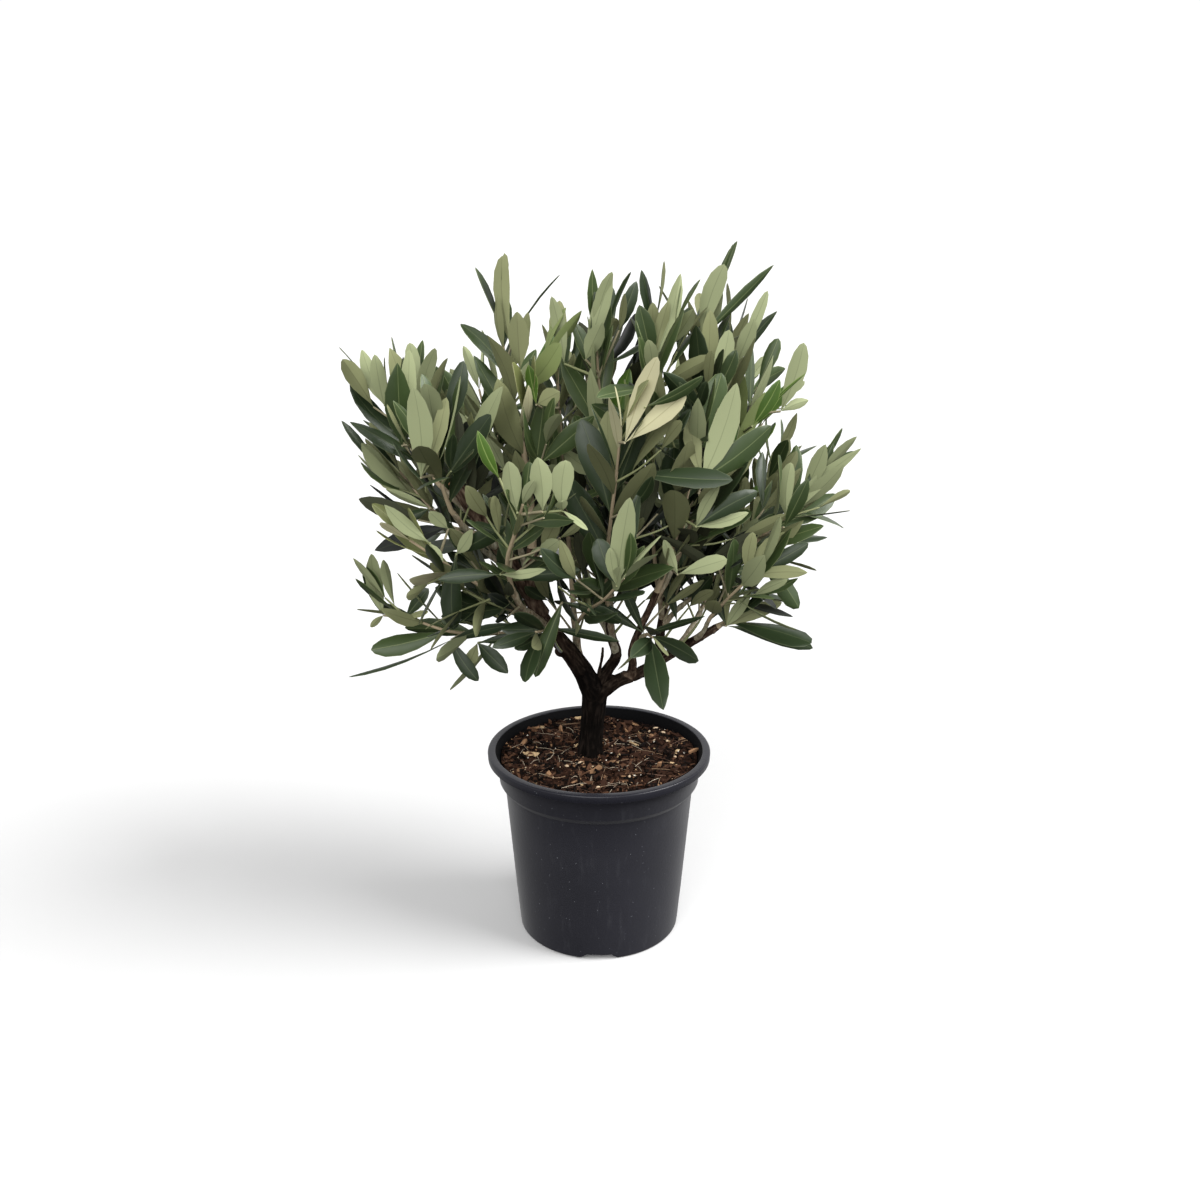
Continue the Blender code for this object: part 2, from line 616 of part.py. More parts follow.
def index_limbs(grown):
    """Points along the trunk and boughs, with the radius at each."""
    points = []
    radii = []
    for name, (path, sizes) in grown.items():
        thick = max(sizes) if sizes else TRUNK_TOP_RADIUS
        thin = min(sizes) if sizes else TRUNK_TOP_RADIUS
        spaced = axis_points(path)
        for k, point in enumerate(spaced):
            points.append(point)
            radii.append(thick + (thin - thick) * k / (len(spaced) - 1))
    return index_points(points), radii


def index_points(points):
    tree = kdtree.KDTree(len(points))
    for k, point in enumerate(points):
        tree.insert(point, k)
    tree.balance()
    return tree


class Space:
    """The room that one mass may fill, and what its leaves have taken of it."""

    def __init__(self, name, spaces, limbs):
        self.name = name
        self.stems, self.owners = spaces
        self.limbs, self.limb_radii = limbs
        self.taken = []

    def holds(self, points, margin):
        for point in points:
            own = self.stems.find(point, filter=lambda k: self.owners[k] == self.name)[2]
            other = self.stems.find(point, filter=lambda k: self.owners[k] != self.name)[2]
            if own + SPACE_MARGIN > other:
                return False
            for _, k, gap in self.limbs.find_range(point, LIMB_REACH):
                if gap < self.limb_radii[k] + margin:
                    return False
        return True

    def is_open(self, points):
        return all((point - other).length > LEAF_GAP for point in points for other in self.taken)


def leaf_frames(root, axis, out, length, spread, curl, roll, rise, stations):
    """Frames along a leaf, its X across the blade and its Y out of the upper side."""
    heading = axis * math.cos(spread) + out * math.sin(spread)
    heading = (heading + UP * rise).normalized()
    across = axis.cross(out).normalized()
    across = (across - heading * across.dot(heading)).normalized()
    across = Matrix.Rotation(roll, 3, heading) @ across
    frames = []
    place = root.copy()
    before = 0
    for share in stations:
        bend = Matrix.Rotation(curl * (share + before) / 2, 3, across)
        place = place + (bend @ heading) * length * (share - before)
        ahead = Matrix.Rotation(curl * share, 3, across) @ heading
        upper = ahead.cross(across)
        turn = Matrix((across, upper, ahead)).transposed().to_4x4()
        frames.append(Matrix.Translation(place) @ turn)
        before = share
    return frames


def leaf_body(name, frames, length, width):
    """A leaf of twelve faces: a point sunk in the twig, two stations, and the tip."""
    sizes = [(LEAF_POINT, LEAF_POINT)]
    for half in LEAF_HALF_WIDTHS:
        sizes.append((half * width / RING_HALF_WIDTH, -length * LEAF_THICK / 1.5))
    sizes.append((LEAF_POINT, LEAF_POINT))
    bm = loft(frames, sizes, 3)
    for frame in (frames[0], frames[-1]):
        ends = [vert for vert in bm.verts if (vert.co - frame.translation).length < 2 * LEAF_POINT]
        bmesh.ops.pointmerge(bm, verts=ends, merge_co=frame.translation)
    bmesh.ops.triangulate(bm, faces=bm.faces)
    return make_object(name, bm)


def draw_leaf(draw, share, row):
    """One leaf's size and set, at a share of the way up its twig: low leaves spread and droop more."""
    spread = SPREAD_LOW + (SPREAD_TOP - SPREAD_LOW) * share ** 0.7
    size = 0.86 + 0.3 * math.sin(math.pi * min(1, share + 0.12)) - 0.16 * share
    length = row.leaf * MM * size * draw.uniform(1 - LEAF_VARIES, 1 + LEAF_VARIES)
    width = length * draw.uniform(*LEAF_WIDTHS)
    spread = math.radians(spread + draw.uniform(-SPREAD_VARIES, SPREAD_VARIES))
    curl = math.radians(draw.uniform(*LEAF_CURLS))
    roll = math.radians(draw.uniform(-LEAF_ROLL, LEAF_ROLL))
    rise = row.rise - DROOP_LOW * (1 - share)
    return length, width, spread, curl, roll, rise


def grow_leaf(space, name, root, axis, out, radius, drawn):
    """A leaf from the middle of its twig, drawn in and shortened until it fits, or none."""
    length, width, spread, curl, roll, rise = drawn
    for shrink, fold in LEAF_TRIES:
        shape = (length * shrink, spread * fold, curl, roll, rise)
        tests = leaf_frames(root, axis, out, *shape, LEAF_TESTS)
        points = []
        for k, frame in enumerate(tests):
            middle = frame.translation
            points.append(middle)
            if 0 < k < len(tests) - 1:
                side = frame.to_3x3().col[0] * width * shrink * LEAF_EDGE
                points += [middle + side, middle - side]
        if space.holds(points, LIMB_MARGIN) and space.is_open(points[4:]):
            space.taken += points[4:]
            sunk = root - (axis * math.cos(spread) + out * math.sin(spread)) * radius * ROOT_SUNK
            frames = leaf_frames(root, axis, out, *shape, (0,) + LEAF_STATIONS + (1,))
            frames[0] = Matrix.Translation(sunk - root) @ frames[0]
            return leaf_body(name, frames, length * shrink, width * shrink)
    return None


def pair_directions(frame, turn):
    """The two opposite ways out from a twig at a node."""
    for k in range(2):
        angle = turn + math.pi * k
        yield frame.to_3x3() @ Vector((math.cos(angle), math.sin(angle), 0))


def grow_pairs(draw, space, name, path, radii, row, turn, first):
    """Pairs of leaves along a stem or a twig, up to a last pair at its tip."""
    total = lengths_along(path)[-1]
    count = max(1, round((total - first) / INTERNODE))
    frames = frames_along(path)
    leaves = []
    for k in range(count + 1):
        share = (first + (total - first) * k / count) / total
        point, axis = point_at(path, min(share, 0.995))
        nearest = min(frames, key=lambda frame: (frame.translation - point).length)
        radius = radii[0] + (radii[-1] - radii[0]) * share
        for side, out in enumerate(pair_directions(nearest, turn + k * math.pi / 2)):
            drawn = draw_leaf(draw, share, row)
            leaf = grow_leaf(space, f"{name}_{k}_{side}", point, axis, out, radius, drawn)
            if leaf:
                leaves.append(leaf)
    return leaves


def grow_twig(draw, space, name, path, share, turn, row):
    """A side twig that leaves its stem and turns back up along it, with its own pairs."""
    point, axis = point_at(path, share)
    frame = min(frames_along(path), key=lambda one: (one.translation - point).length)
    out = next(pair_directions(frame, turn))
    spread = math.radians(TWIG_SPREAD + draw.uniform(-TWIG_SPREAD_VARIES, TWIG_SPREAD_VARIES))
    length = draw.uniform(*TWIG_LENGTHS) * (TWIG_LENGTH_LOW - TWIG_LENGTH_LOSS * share)
    phase = draw.uniform(0, math.pi)
    leave = axis * math.cos(spread) + out * math.sin(spread)
    tip = point + (leave + UP * row.rise * TWIG_LIFT).normalized() * length
    twig = smooth_path([point, tip], leave.normalized(), TWIG_UPTURN, TWIG_STEP)
    if not space.holds(axis_points(twig)[2:], TWIG_RADIUS + LIMB_MARGIN / 2):
        return []
    radii = [TWIG_RADIUS + (STEM_TIP - TWIG_RADIUS) * k / (len(twig) - 1) for k in range(len(twig))]
    body = tube(name, twig, radii, TWIG_SIDES)
    return [body] + grow_pairs(draw, space, name, twig, radii, row, phase, TWIG_BARE_FOOT)


def make_mass(row, stems, grown, spaces, limbs, material):
    draw = random.Random(row.seed)
    space = Space(row.name, spaces, limbs)
    path = stems[row.name]
    base = grown[row.bough][1][-1]
    radii = [base + (STEM_TIP - base) * (k / (len(path) - 1)) ** STEM_TAPER for k in range(len(path))]
    stem = tube(row.name, path, radii, STEM_SIDES, material)
    turn = math.radians(row.turn)
    grown_on = grow_pairs(draw, space, row.name, path, radii, row, turn, BARE_FOOT)
    for k in range(row.twigs):
        share = TWIG_LOWEST + TWIG_SHARE * k / row.twigs
        side = turn + k * TWIG_TURN + draw.uniform(-TWIG_TURN_VARIES, TWIG_TURN_VARIES)
        grown_on += grow_twig(draw, space, f"{row.name}_twig_{k}", path, share, side, row)
    if grown_on:
        use_boolean(stem, "UNION", grown_on)
    keep_main_body(stem)
    stem.data.shade_smooth()
    stem.data.set_sharp_from_angle(angle=math.radians(LEAF_SHARP))
    return stem


def build():
    clear_scene()
    black = make_material("pot_plastic", (0.024, 0.024, 0.029), 0.38)
    compost = make_material("compost", (0.055, 0.024, 0.014), 0.95)
    bark = make_material("old_bark", (0.05, 0.032, 0.025), 0.85)
    young = make_material("young_bark", (0.22, 0.17, 0.1), 0.75)
    green = make_material("leaf", (0.11, 0.16, 0.07), 0.5)
    make_pot(black)
    make_soil(compost)
    grow_trunk("trunk", 0, bark)
    grown = bough_paths()
    make_boughs(grown, bark, young)
    stems = stem_paths(grown)
    spaces = index_spaces(stems)
    limbs = index_limbs(grown)
    for row in MASSES:
        make_mass(row, stems, grown, spaces, limbs, green)


build()
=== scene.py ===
import json
import math
import random
from collections import namedtuple

import bmesh
import bpy
from mathutils import Matrix, Vector, kdtree, noise
from mathutils.geometry import interpolate_bezier

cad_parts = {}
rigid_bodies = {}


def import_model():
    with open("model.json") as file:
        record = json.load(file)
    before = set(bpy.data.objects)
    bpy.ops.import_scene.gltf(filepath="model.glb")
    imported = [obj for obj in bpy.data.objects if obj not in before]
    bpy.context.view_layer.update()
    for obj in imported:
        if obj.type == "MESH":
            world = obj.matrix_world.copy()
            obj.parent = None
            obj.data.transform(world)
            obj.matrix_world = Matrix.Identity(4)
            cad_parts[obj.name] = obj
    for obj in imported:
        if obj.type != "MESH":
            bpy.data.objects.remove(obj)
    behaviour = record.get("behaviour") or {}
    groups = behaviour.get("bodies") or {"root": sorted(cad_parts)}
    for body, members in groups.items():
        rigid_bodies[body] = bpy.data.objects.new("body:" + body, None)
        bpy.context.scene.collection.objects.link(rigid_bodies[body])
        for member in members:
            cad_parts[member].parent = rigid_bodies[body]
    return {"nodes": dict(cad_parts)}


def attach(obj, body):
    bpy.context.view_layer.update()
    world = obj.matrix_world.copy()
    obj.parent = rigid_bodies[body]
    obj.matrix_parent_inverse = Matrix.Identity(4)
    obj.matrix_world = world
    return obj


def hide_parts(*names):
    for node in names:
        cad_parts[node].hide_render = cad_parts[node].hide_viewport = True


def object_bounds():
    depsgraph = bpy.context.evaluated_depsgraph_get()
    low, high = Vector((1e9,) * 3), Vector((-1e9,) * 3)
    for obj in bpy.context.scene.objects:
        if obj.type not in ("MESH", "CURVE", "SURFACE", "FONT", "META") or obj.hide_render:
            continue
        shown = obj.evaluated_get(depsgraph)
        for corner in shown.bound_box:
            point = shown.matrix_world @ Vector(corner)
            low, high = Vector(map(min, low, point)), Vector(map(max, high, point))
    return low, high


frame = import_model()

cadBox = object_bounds()
lowCorner, highCorner = Vector(cadBox[0]), Vector(cadBox[1])
mm = 0.001
up = Vector((0, 0, 1))
nodeNames = sorted(frame["nodes"])
foliageNodes = [name for name in nodeNames if name.startswith("foliage_")]
limbNodes = [name for name in nodeNames if name.startswith("limb_")]
boughNodes = [name for name in nodeNames if name.startswith("bough_")]
print("frame:", len(nodeNames), "nodes")


class Socket:  # an output in a material, so that sums on it read as plain maths
    def __init__(self, look, output):
        self.look = look
        self.output = output

    def maths(self, operation, other):
        return self.look.node("Math", {"operation": operation}, {0: self, 1: other})

    def __add__(self, other):
        return self.maths("ADD", other)

    def __mul__(self, other):
        return self.maths("MULTIPLY", other)

    __radd__ = __add__
    __rmul__ = __mul__


def setStops(elements, stops):  # colours and their places along a ramp
    for element, (at, colour) in zip((elements[0], elements[-1]), (stops[0], stops[-1])):
        element.position = at
        element.color = (*colour, 1)
    for at, colour in stops[1:-1]:
        elements.new(at).color = (*colour, 1)


class Look:  # one material and the nodes behind it
    def __init__(self, name, **fixed):
        self.material = bpy.data.materials.new(name)
        self.material.use_nodes = True
        self.tree = self.material.node_tree
        self.shader = self.tree.nodes["Principled BSDF"]
        for socket, value in fixed.items():
            self.shader.inputs[socket.replace("_", " ")].default_value = value

    def node(self, kind, settings, sockets, out=0):
        made = self.tree.nodes.new("ShaderNode" + kind)
        for key, value in settings.items():
            if key == "stops":
                setStops(made.color_ramp.elements, value)
            else:
                setattr(made, key, value)
        for key, value in sockets.items():
            self.feed(made.inputs[key], value)
        return Socket(self, made.outputs[out])

    def feed(self, socket, value):
        if isinstance(value, Socket):
            self.tree.links.new(value.output, socket)
        else:
            socket.default_value = value

    def drive(self, socket, value):
        self.feed(self.shader.inputs[socket], value)

    def place(self, stretch=(1, 1, 1)):  # Object coordinates (output 3), squeezed by stretch
        where = self.node("TexCoord", {}, {}, 3)
        return self.node("Mapping", {}, {"Vector": where, "Scale": stretch})

    def grain(self, where, scale, detail=4, rough=0.55):
        return self.node("TexNoise", {}, {"Vector": where, "Scale": scale, "Detail": detail,
                                          "Roughness": rough})

    def band(self, value, low, high):  # 0 below low, 1 above high
        return self.node("MapRange", {}, {"Value": value, "From Min": low, "From Max": high})

    def ramp(self, value, stops):
        return self.node("ValToRGB", {"stops": stops}, {0: value})

    def mix(self, share, first, second):  # sockets 0, 6, 7 and 2 of a colour mix
        return self.node("Mix", {"data_type": "RGBA"}, {0: share, 6: first, 7: second}, 2)

    def bump(self, height, distance, strength):  # distance in metres
        self.drive("Normal", self.node("Bump", {}, {"Height": height, "Distance": distance,
                                                    "Strength": strength}))


def plainLooks(rows):  # name, colour, roughness
    return [Look(name, Base_Color=(*colour, 1), Roughness=rough) for name, colour, rough in rows]


def makePiece(name, bm, looks, slotName, smoothAngle=60):  # without a slot it isn't part of the object
    mesh = bpy.data.meshes.new(name)
    bm.to_mesh(mesh)
    bm.free()
    piece = bpy.data.objects.new(name, mesh)
    bpy.context.scene.collection.objects.link(piece)
    for look in looks:
        mesh.materials.append(look.material)
    if smoothAngle:
        mesh.shade_smooth()
        mesh.set_sharp_from_angle(angle=math.radians(smoothAngle))
    if slotName:
        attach(piece, "root")
    return piece


def applyModifiers(piece):
    shown = piece.evaluated_get(bpy.context.evaluated_depsgraph_get())
    mesh = bpy.data.meshes.new_from_object(shown)
    piece.modifiers.clear()
    piece.data = mesh


def cutWith(piece, cutters, operation):
    for cutter in cutters:
        step = piece.modifiers.new("cut", "BOOLEAN")
        step.operation = operation
        step.solver = "EXACT"
        step.object = cutter
    applyModifiers(piece)
    for cutter in cutters:
        bpy.data.objects.remove(cutter, do_unlink=True)


def framesAlong(path):  # Z along the path, with no more twist than the path has
    frames = []
    rotation = None
    for k, point in enumerate(path):
        ahead = (path[min(k + 1, len(path) - 1)] - path[max(k - 1, 0)]).normalized()
        if rotation is None:
            rotation = ahead.to_track_quat("Z", "Y")
        else:
            rotation = heading.rotation_difference(ahead) @ rotation
        heading = ahead
        frames.append(Matrix.Translation(point) @ rotation.to_matrix().to_4x4())
    return frames


def addBody(joined, bm, slot=0):  # moves the faces of a small bmesh into a larger one
    bmesh.ops.recalc_face_normals(bm, faces=bm.faces)
    for face in bm.faces:
        face.material_index = slot
        face.smooth = True
    mesh = bpy.data.meshes.new("moved")
    bm.to_mesh(mesh)
    bm.free()
    joined.from_mesh(mesh)
    bpy.data.meshes.remove(mesh)


def loft(path, radii, sides):  # a closed tube
    places = []
    for frameHere, radius in zip(framesAlong(path), radii):
        places.append(frameHere @ Matrix.Diagonal((radius, radius, 1, 1)))
    bm = bmesh.new()
    bmesh.ops.create_circle(bm, cap_ends=True, segments=sides, radius=1, matrix=places[0])
    cap = next(iter(bm.faces))
    for before, after in zip(places, places[1:]):
        cap = bmesh.ops.extrude_discrete_faces(bm, faces=[cap])["faces"][0]
        bmesh.ops.transform(bm, matrix=after @ before.inverted(), verts=cap.verts)
    bmesh.ops.holes_fill(bm, edges=bm.edges, sides=sides)
    return bm


def smoothPath(points, leave, lift, step):  # leaves along leave, and turns up by lift at its end
    last = len(points) - 1
    headings = [(points[min(k + 1, last)] - points[max(k - 1, 0)]).normalized() for k in range(last + 1)]
    headings[0] = leave
    headings[-1] = (headings[-1] + up * lift).normalized()
    path = []
    for k in range(last):
        span = (points[k + 1] - points[k]).length
        near = points[k] + headings[k] * span / 3
        far = points[k + 1] - headings[k + 1] * span / 3
        count = max(2, round(span / step) + 1)
        path += interpolate_bezier(points[k], near, far, points[k + 1], count)[:-1]
    return path + [points[-1].copy()]


def finerPath(path, step):
    return smoothPath(path, (path[1] - path[0]).normalized(), 0, step)


def lengthsAlong(path):
    lengths = [0]
    for before, after in zip(path, path[1:]):
        lengths.append(lengths[-1] + (after - before).length)
    return lengths


def pointAt(path, share):
    lengths = lengthsAlong(path)
    wanted = share * lengths[-1]
    for k in range(1, len(path)):
        if lengths[k] >= wanted or k == len(path) - 1:
            part = (wanted - lengths[k - 1]) / (lengths[k] - lengths[k - 1])
            return path[k - 1].lerp(path[k], part), (path[k] - path[k - 1]).normalized()


def axisPoints(path, step=3 * mm):
    steps = max(1, round(lengthsAlong(path)[-1] / step))
    return [pointAt(path, k / steps)[0] for k in range(steps + 1)]


def indexPoints(points):
    tree = kdtree.KDTree(len(points))
    for k, point in enumerate(points):
        tree.insert(point, k)
    tree.balance()
    return tree


def arc(centreX, centreZ, radius, start, end, steps):
    points = []
    for k in range(steps + 1):
        angle = math.radians(start + (end - start) * k / steps)
        points.append((centreX + radius * math.cos(angle), centreZ + radius * math.sin(angle)))
    return points


def spun(profile, steps):  # profile of radius and height in mm, turned about Z
    bm = bmesh.new()
    verts = [bm.verts.new((radius * mm, 0, height * mm)) for radius, height in profile]
    edges = [bm.edges.new(pair) for pair in zip(verts, verts[1:])]
    bmesh.ops.spin(bm, geom=verts + edges, axis=up, cent=(0, 0, 0), angle=math.tau, steps=steps,
                   use_merge=True)
    bmesh.ops.remove_doubles(bm, verts=bm.verts, dist=1e-6)
    bmesh.ops.recalc_face_normals(bm, faces=bm.faces)
    return bm


# Camera, floor and light, in metres and degrees
view = {"away": 0.780, "height": 0.480, "pitch": 17.5, "lens": 37.68, "sensor": 36, "shift": 1 / 1200}

camera = bpy.data.objects.new("camera", bpy.data.cameras.new("camera"))
bpy.context.scene.collection.objects.link(camera)
camera.location = (0, -view["away"], view["height"])
camera.rotation_euler = (math.radians(90 - view["pitch"]), 0, 0)
camera.data.lens = view["lens"]
camera.data.sensor_width = view["sensor"]
camera.data.shift_x = view["shift"]
bpy.context.scene.camera = camera
bpy.context.scene.view_settings.view_transform = "Standard"

studio = {
    "floor": 60,  # metres across
    "paper": ((0.59, 0.59, 0.59, 1), (0.61, 0.61, 0.61, 1)),
    "sky": (  # height from 0 straight down to 1 straight up, strength
        (0, 0.03), (0.14, 0.03), (0.24, 0.36), (0.46, 0.36), (0.48, 1.03), (0.6, 1.03), (1, 0.35),
    ),
    "suns": (  # from, strength, degrees across
        ("key", (1.25, -0.3, 1.15), 4.3, 38),
        ("front", (-0.35, -1.6, 1.1), 2.3, 50),
    ),
}


def makeStudio():
    paper = Look("paper", Roughness=0.9)
    paper.drive("Base Color", paper.mix(paper.grain(paper.place(), 3), *studio["paper"]))
    bm = bmesh.new()
    bmesh.ops.create_grid(bm, x_segments=4, y_segments=4, size=studio["floor"] / 2)
    makePiece("floor", bm, [paper], None)
    floor = bpy.data.objects["floor"]
    floor.visible_diffuse = False  # no green or white thrown back up at the leaves
    floor.visible_glossy = False
    world = bpy.data.worlds.new("world")
    world.use_nodes = True
    nodes = world.node_tree.nodes
    facing = nodes.new("ShaderNodeTexCoord")
    split = nodes.new("ShaderNodeSeparateXYZ")
    strengths = nodes.new("ShaderNodeFloatCurve")
    strengths.mapping.clip_max_y = 2  # room for strengths over 1
    points = strengths.mapping.curves[0].points
    points[0].location = studio["sky"][0]
    points[1].location = studio["sky"][-1]
    for at, strength in studio["sky"][1:-1]:
        points.new(at, strength)
    for point in points:
        point.handle_type = "VECTOR"
    strengths.mapping.update()
    half = nodes.new("ShaderNodeMapRange")
    half.inputs["From Min"].default_value = -1
    wires = world.node_tree.links
    wires.new(facing.outputs["Generated"], split.inputs[0])
    wires.new(split.outputs["Z"], half.inputs["Value"])
    wires.new(half.outputs[0], strengths.inputs["Value"])
    wires.new(strengths.outputs[0], nodes["Background"].inputs["Strength"])
    nodes["Background"].inputs["Color"].default_value = (1, 1, 1, 1)
    bpy.context.scene.world = world
    for name, place, strength, across in studio["suns"]:
        light = bpy.data.objects.new(name, bpy.data.lights.new(name, "SUN"))
        light.data.energy = strength
        light.data.angle = math.radians(across)
        light.location = place
        light.rotation_euler = light.location.to_track_quat("Z", "Y").to_euler()
        bpy.context.scene.collection.objects.link(light)


makeStudio()
print("studio: camera, floor and", len(studio["suns"]), "lights")

# Pot, in mm; pairs are radius and height
pot = {
    "rim": 75, "height": 130, "wall": 1.2, "floor": 1.5, "steps": 144, "sharp": 42,
    "foot": 54.8, "footRound": 2.4, "wallTop": (63.6, 105),
    "shoulderFoot": (67.4, 109), "shoulderTop": (68, 123.4),
    "creases": (("wallTop", -0.05, -0.6), ("wallTop", 0.3, 0.2),
                ("shoulderFoot", -0.5, -0.5), ("shoulderFoot", 0, 0.5)),
    "beadFoot": (67.95, 121.2), "beadMiddle": (67.95, 122.3), "beadRound": 0.85,
    "neckFoot": (68.4, 124.1), "grooveOut": 0.2, "grooveDown": 0.3,
    "lipBottom": 124.6, "lipRound": 1.2, "lipInner": 69.8, "lipNeck": 70.5,
    "lipEdge": 0.5, "lipEdgeIn": 0.7, "lipInnerRound": 0.6,
    "channelHeight": 4, "channelWidth": 32.5, "channelSlope": 8.25, "channelInner": 24,
    "cutReach": 90, "cutBase": -1.5, "endCuts": 9, "ridgeOuter": 54.15, "ridgeSunk": 0.2,
    "drain": 4, "drainAt": 38, "drainDepth": 10,
    "black": ((0.009, 0.009, 0.0128, 1), (0.015, 0.015, 0.0212, 1)),
    # inside: near black, painted shade for the pot's inner wall
    "worn": (0.05, 0.052, 0.06, 1), "dust": (0.2, 0.21, 0.23, 1), "inside": (0.002, 0.002, 0.0025, 1),
}


def potProfile():
    wall = pot["wall"]
    skirt = pot["rim"] - wall
    foot = pot["foot"] - pot["footRound"]
    top = pot["height"]
    grooveTop = top - wall
    wallTop, wallHeight = pot["wallTop"]
    outside = [(0, 0), (foot, 0)] + arc(foot, pot["footRound"], pot["footRound"], -80, 0, steps=5)
    for share in (0.25, 0.5, 0.75):
        outside.append((pot["foot"] + (wallTop - pot["foot"]) * share, wallHeight * share))
    for name, out, lift in pot["creases"]:
        outside.append((pot[name][0] + out, pot[name][1] + lift))
    outside += [pot["beadFoot"]] + arc(*pot["beadMiddle"], pot["beadRound"], -70, 70, steps=5)
    outside += [
        pot["shoulderTop"], pot["neckFoot"], (pot["lipNeck"], grooveTop),
        (skirt - pot["grooveOut"], grooveTop), (skirt, grooveTop - pot["grooveDown"]),
        (skirt, pot["lipBottom"] + pot["grooveDown"]),
    ]
    edge, innerRound = pot["lipEdge"], pot["lipInnerRound"]
    lip = arc(pot["rim"] - pot["lipEdgeIn"], pot["lipBottom"] + edge, edge, 200, 340, steps=4)
    lip += arc(pot["rim"] - pot["lipRound"], top - pot["lipRound"], pot["lipRound"], 0, 90, steps=6)
    lip += arc(pot["lipInner"] + innerRound, top - innerRound, innerRound, 90, 180, steps=4)
    inside = [(pot["lipNeck"] - wall, grooveTop)]
    for name in ("shoulderTop", "shoulderFoot", "wallTop"):
        inside.append((pot[name][0] - wall, pot[name][1]))
    return outside + lip + inside + [(pot["foot"] - wall, pot["floor"]), (0, pot["floor"])]


def radialBar(inner, outer, base, height, width, turn):  # narrower at its top, round at its outer end
    bm = bmesh.new()
    bmesh.ops.create_cube(bm, size=1)
    across = [edge for edge in bm.edges if edge.verts[0].co.y * edge.verts[1].co.y < 0]
    bmesh.ops.subdivide_edges(bm, edges=across, cuts=pot["endCuts"], use_grid_fill=True)
    for vert in bm.verts:
        half = width / 2 - (pot["channelSlope"] if vert.co.z > 0 else 0)
        side = 2 * half * vert.co.y
        vert.co = Vector((math.sqrt(outer ** 2 - side ** 2) if vert.co.x > 0 else inner, side,
                          height if vert.co.z > 0 else base)) * mm
    bmesh.ops.rotate(bm, matrix=Matrix.Rotation(turn, 3, "Z"), verts=bm.verts)
    return makePiece("bar", bm, [], None, 0)


def plasticLook(name, rough, shine, sheen, wear):  # black, a little dusty and scuffed
    plastic = Look(name, Specular_IOR_Level=shine, Sheen_Weight=sheen, Sheen_Roughness=0.45)
    where = plastic.place()
    clouds = plastic.grain(where, 22, 5)
    dust = plastic.band(plastic.grain(where, 700, 1), 0.765, 0.785)
    scuffs = plastic.band(plastic.grain(plastic.place((60, 60, 9)), 4, 6, 0.7), 0.56, 0.78)
    worn = plastic.mix(scuffs * (0.25 * wear), plastic.mix(clouds, *pot["black"]), pot["worn"])
    plastic.drive("Base Color", plastic.mix(dust * 0.6, worn, pot["dust"]))
    plastic.drive("Roughness", rough + 0.12 * clouds + (0.12 * wear) * scuffs)
    plastic.bump(plastic.grain(where, 420, 2) + 0.5 * plastic.grain(where, 60, 3), 0.0002, 0.35)
    return plastic


def makePot():
    plastic = plasticLook("potPlastic", rough=0.27, shine=0.42, sheen=0.12, wear=1)
    polished = plasticLook("potLip", rough=0.22, shine=0.22, sheen=0.04, wear=0.2)
    # the inner wall's near-black colour is painted shade
    inside = Look("potInside", Base_Color=pot["inside"], Roughness=0.75, Specular_IOR_Level=0.08)
    inside.bump(inside.grain(inside.place(), 500, 3), 0.0002, 0.4)
    turned = spun(potProfile(), pot["steps"])
    shell = makePiece("pot_shell", turned, [plastic, inside, polished], "pot_plastic")
    for face in shell.data.polygons:  # 1 is the inside, near black as painted shade, 2 the lip
        away = face.center.xy.length / mm
        if face.normal.xy.dot(face.center.xy) < 0 and away < pot["lipInner"] + 0.05:
            face.material_index = 1
        elif face.center.z > pot["lipBottom"] * mm:
            face.material_index = 2
    wall = pot["wall"]
    ridge = (pot["channelInner"] - wall, pot["ridgeOuter"], pot["floor"] - pot["ridgeSunk"],
             pot["channelHeight"] + pot["floor"], pot["channelWidth"] + 2 * wall)
    channel = (pot["channelInner"], pot["cutReach"], pot["cutBase"],
               pot["channelHeight"], pot["channelWidth"])
    drain = Vector((pot["drainAt"], 0, pot["drainDepth"] / 2)) * mm
    ridges = []
    channels = []
    for turn in [math.tau * (k / 4 - 0.25) for k in range(4)]:
        ridges.append(radialBar(*ridge, turn))
        channels.append(radialBar(*channel, turn))
        bm = bmesh.new()
        bmesh.ops.create_cone(bm, cap_ends=True, segments=24, radius1=pot["drain"] * mm,
                              radius2=pot["drain"] * mm, depth=pot["drainDepth"] * mm,
                              matrix=Matrix.Rotation(turn, 4, "Z") @ Matrix.Translation(drain))
        channels.append(makePiece("drain", bm, [], None, 0))
    cutWith(shell, ridges, "UNION")
    cutWith(shell, channels, "DIFFERENCE")
    shell.data.shade_smooth()
    shell.data.set_sharp_from_angle(angle=math.radians(pot["sharp"]))
    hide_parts("pot")


makePot()
print("pot: turned shell with its lip, bead and four drain channels")

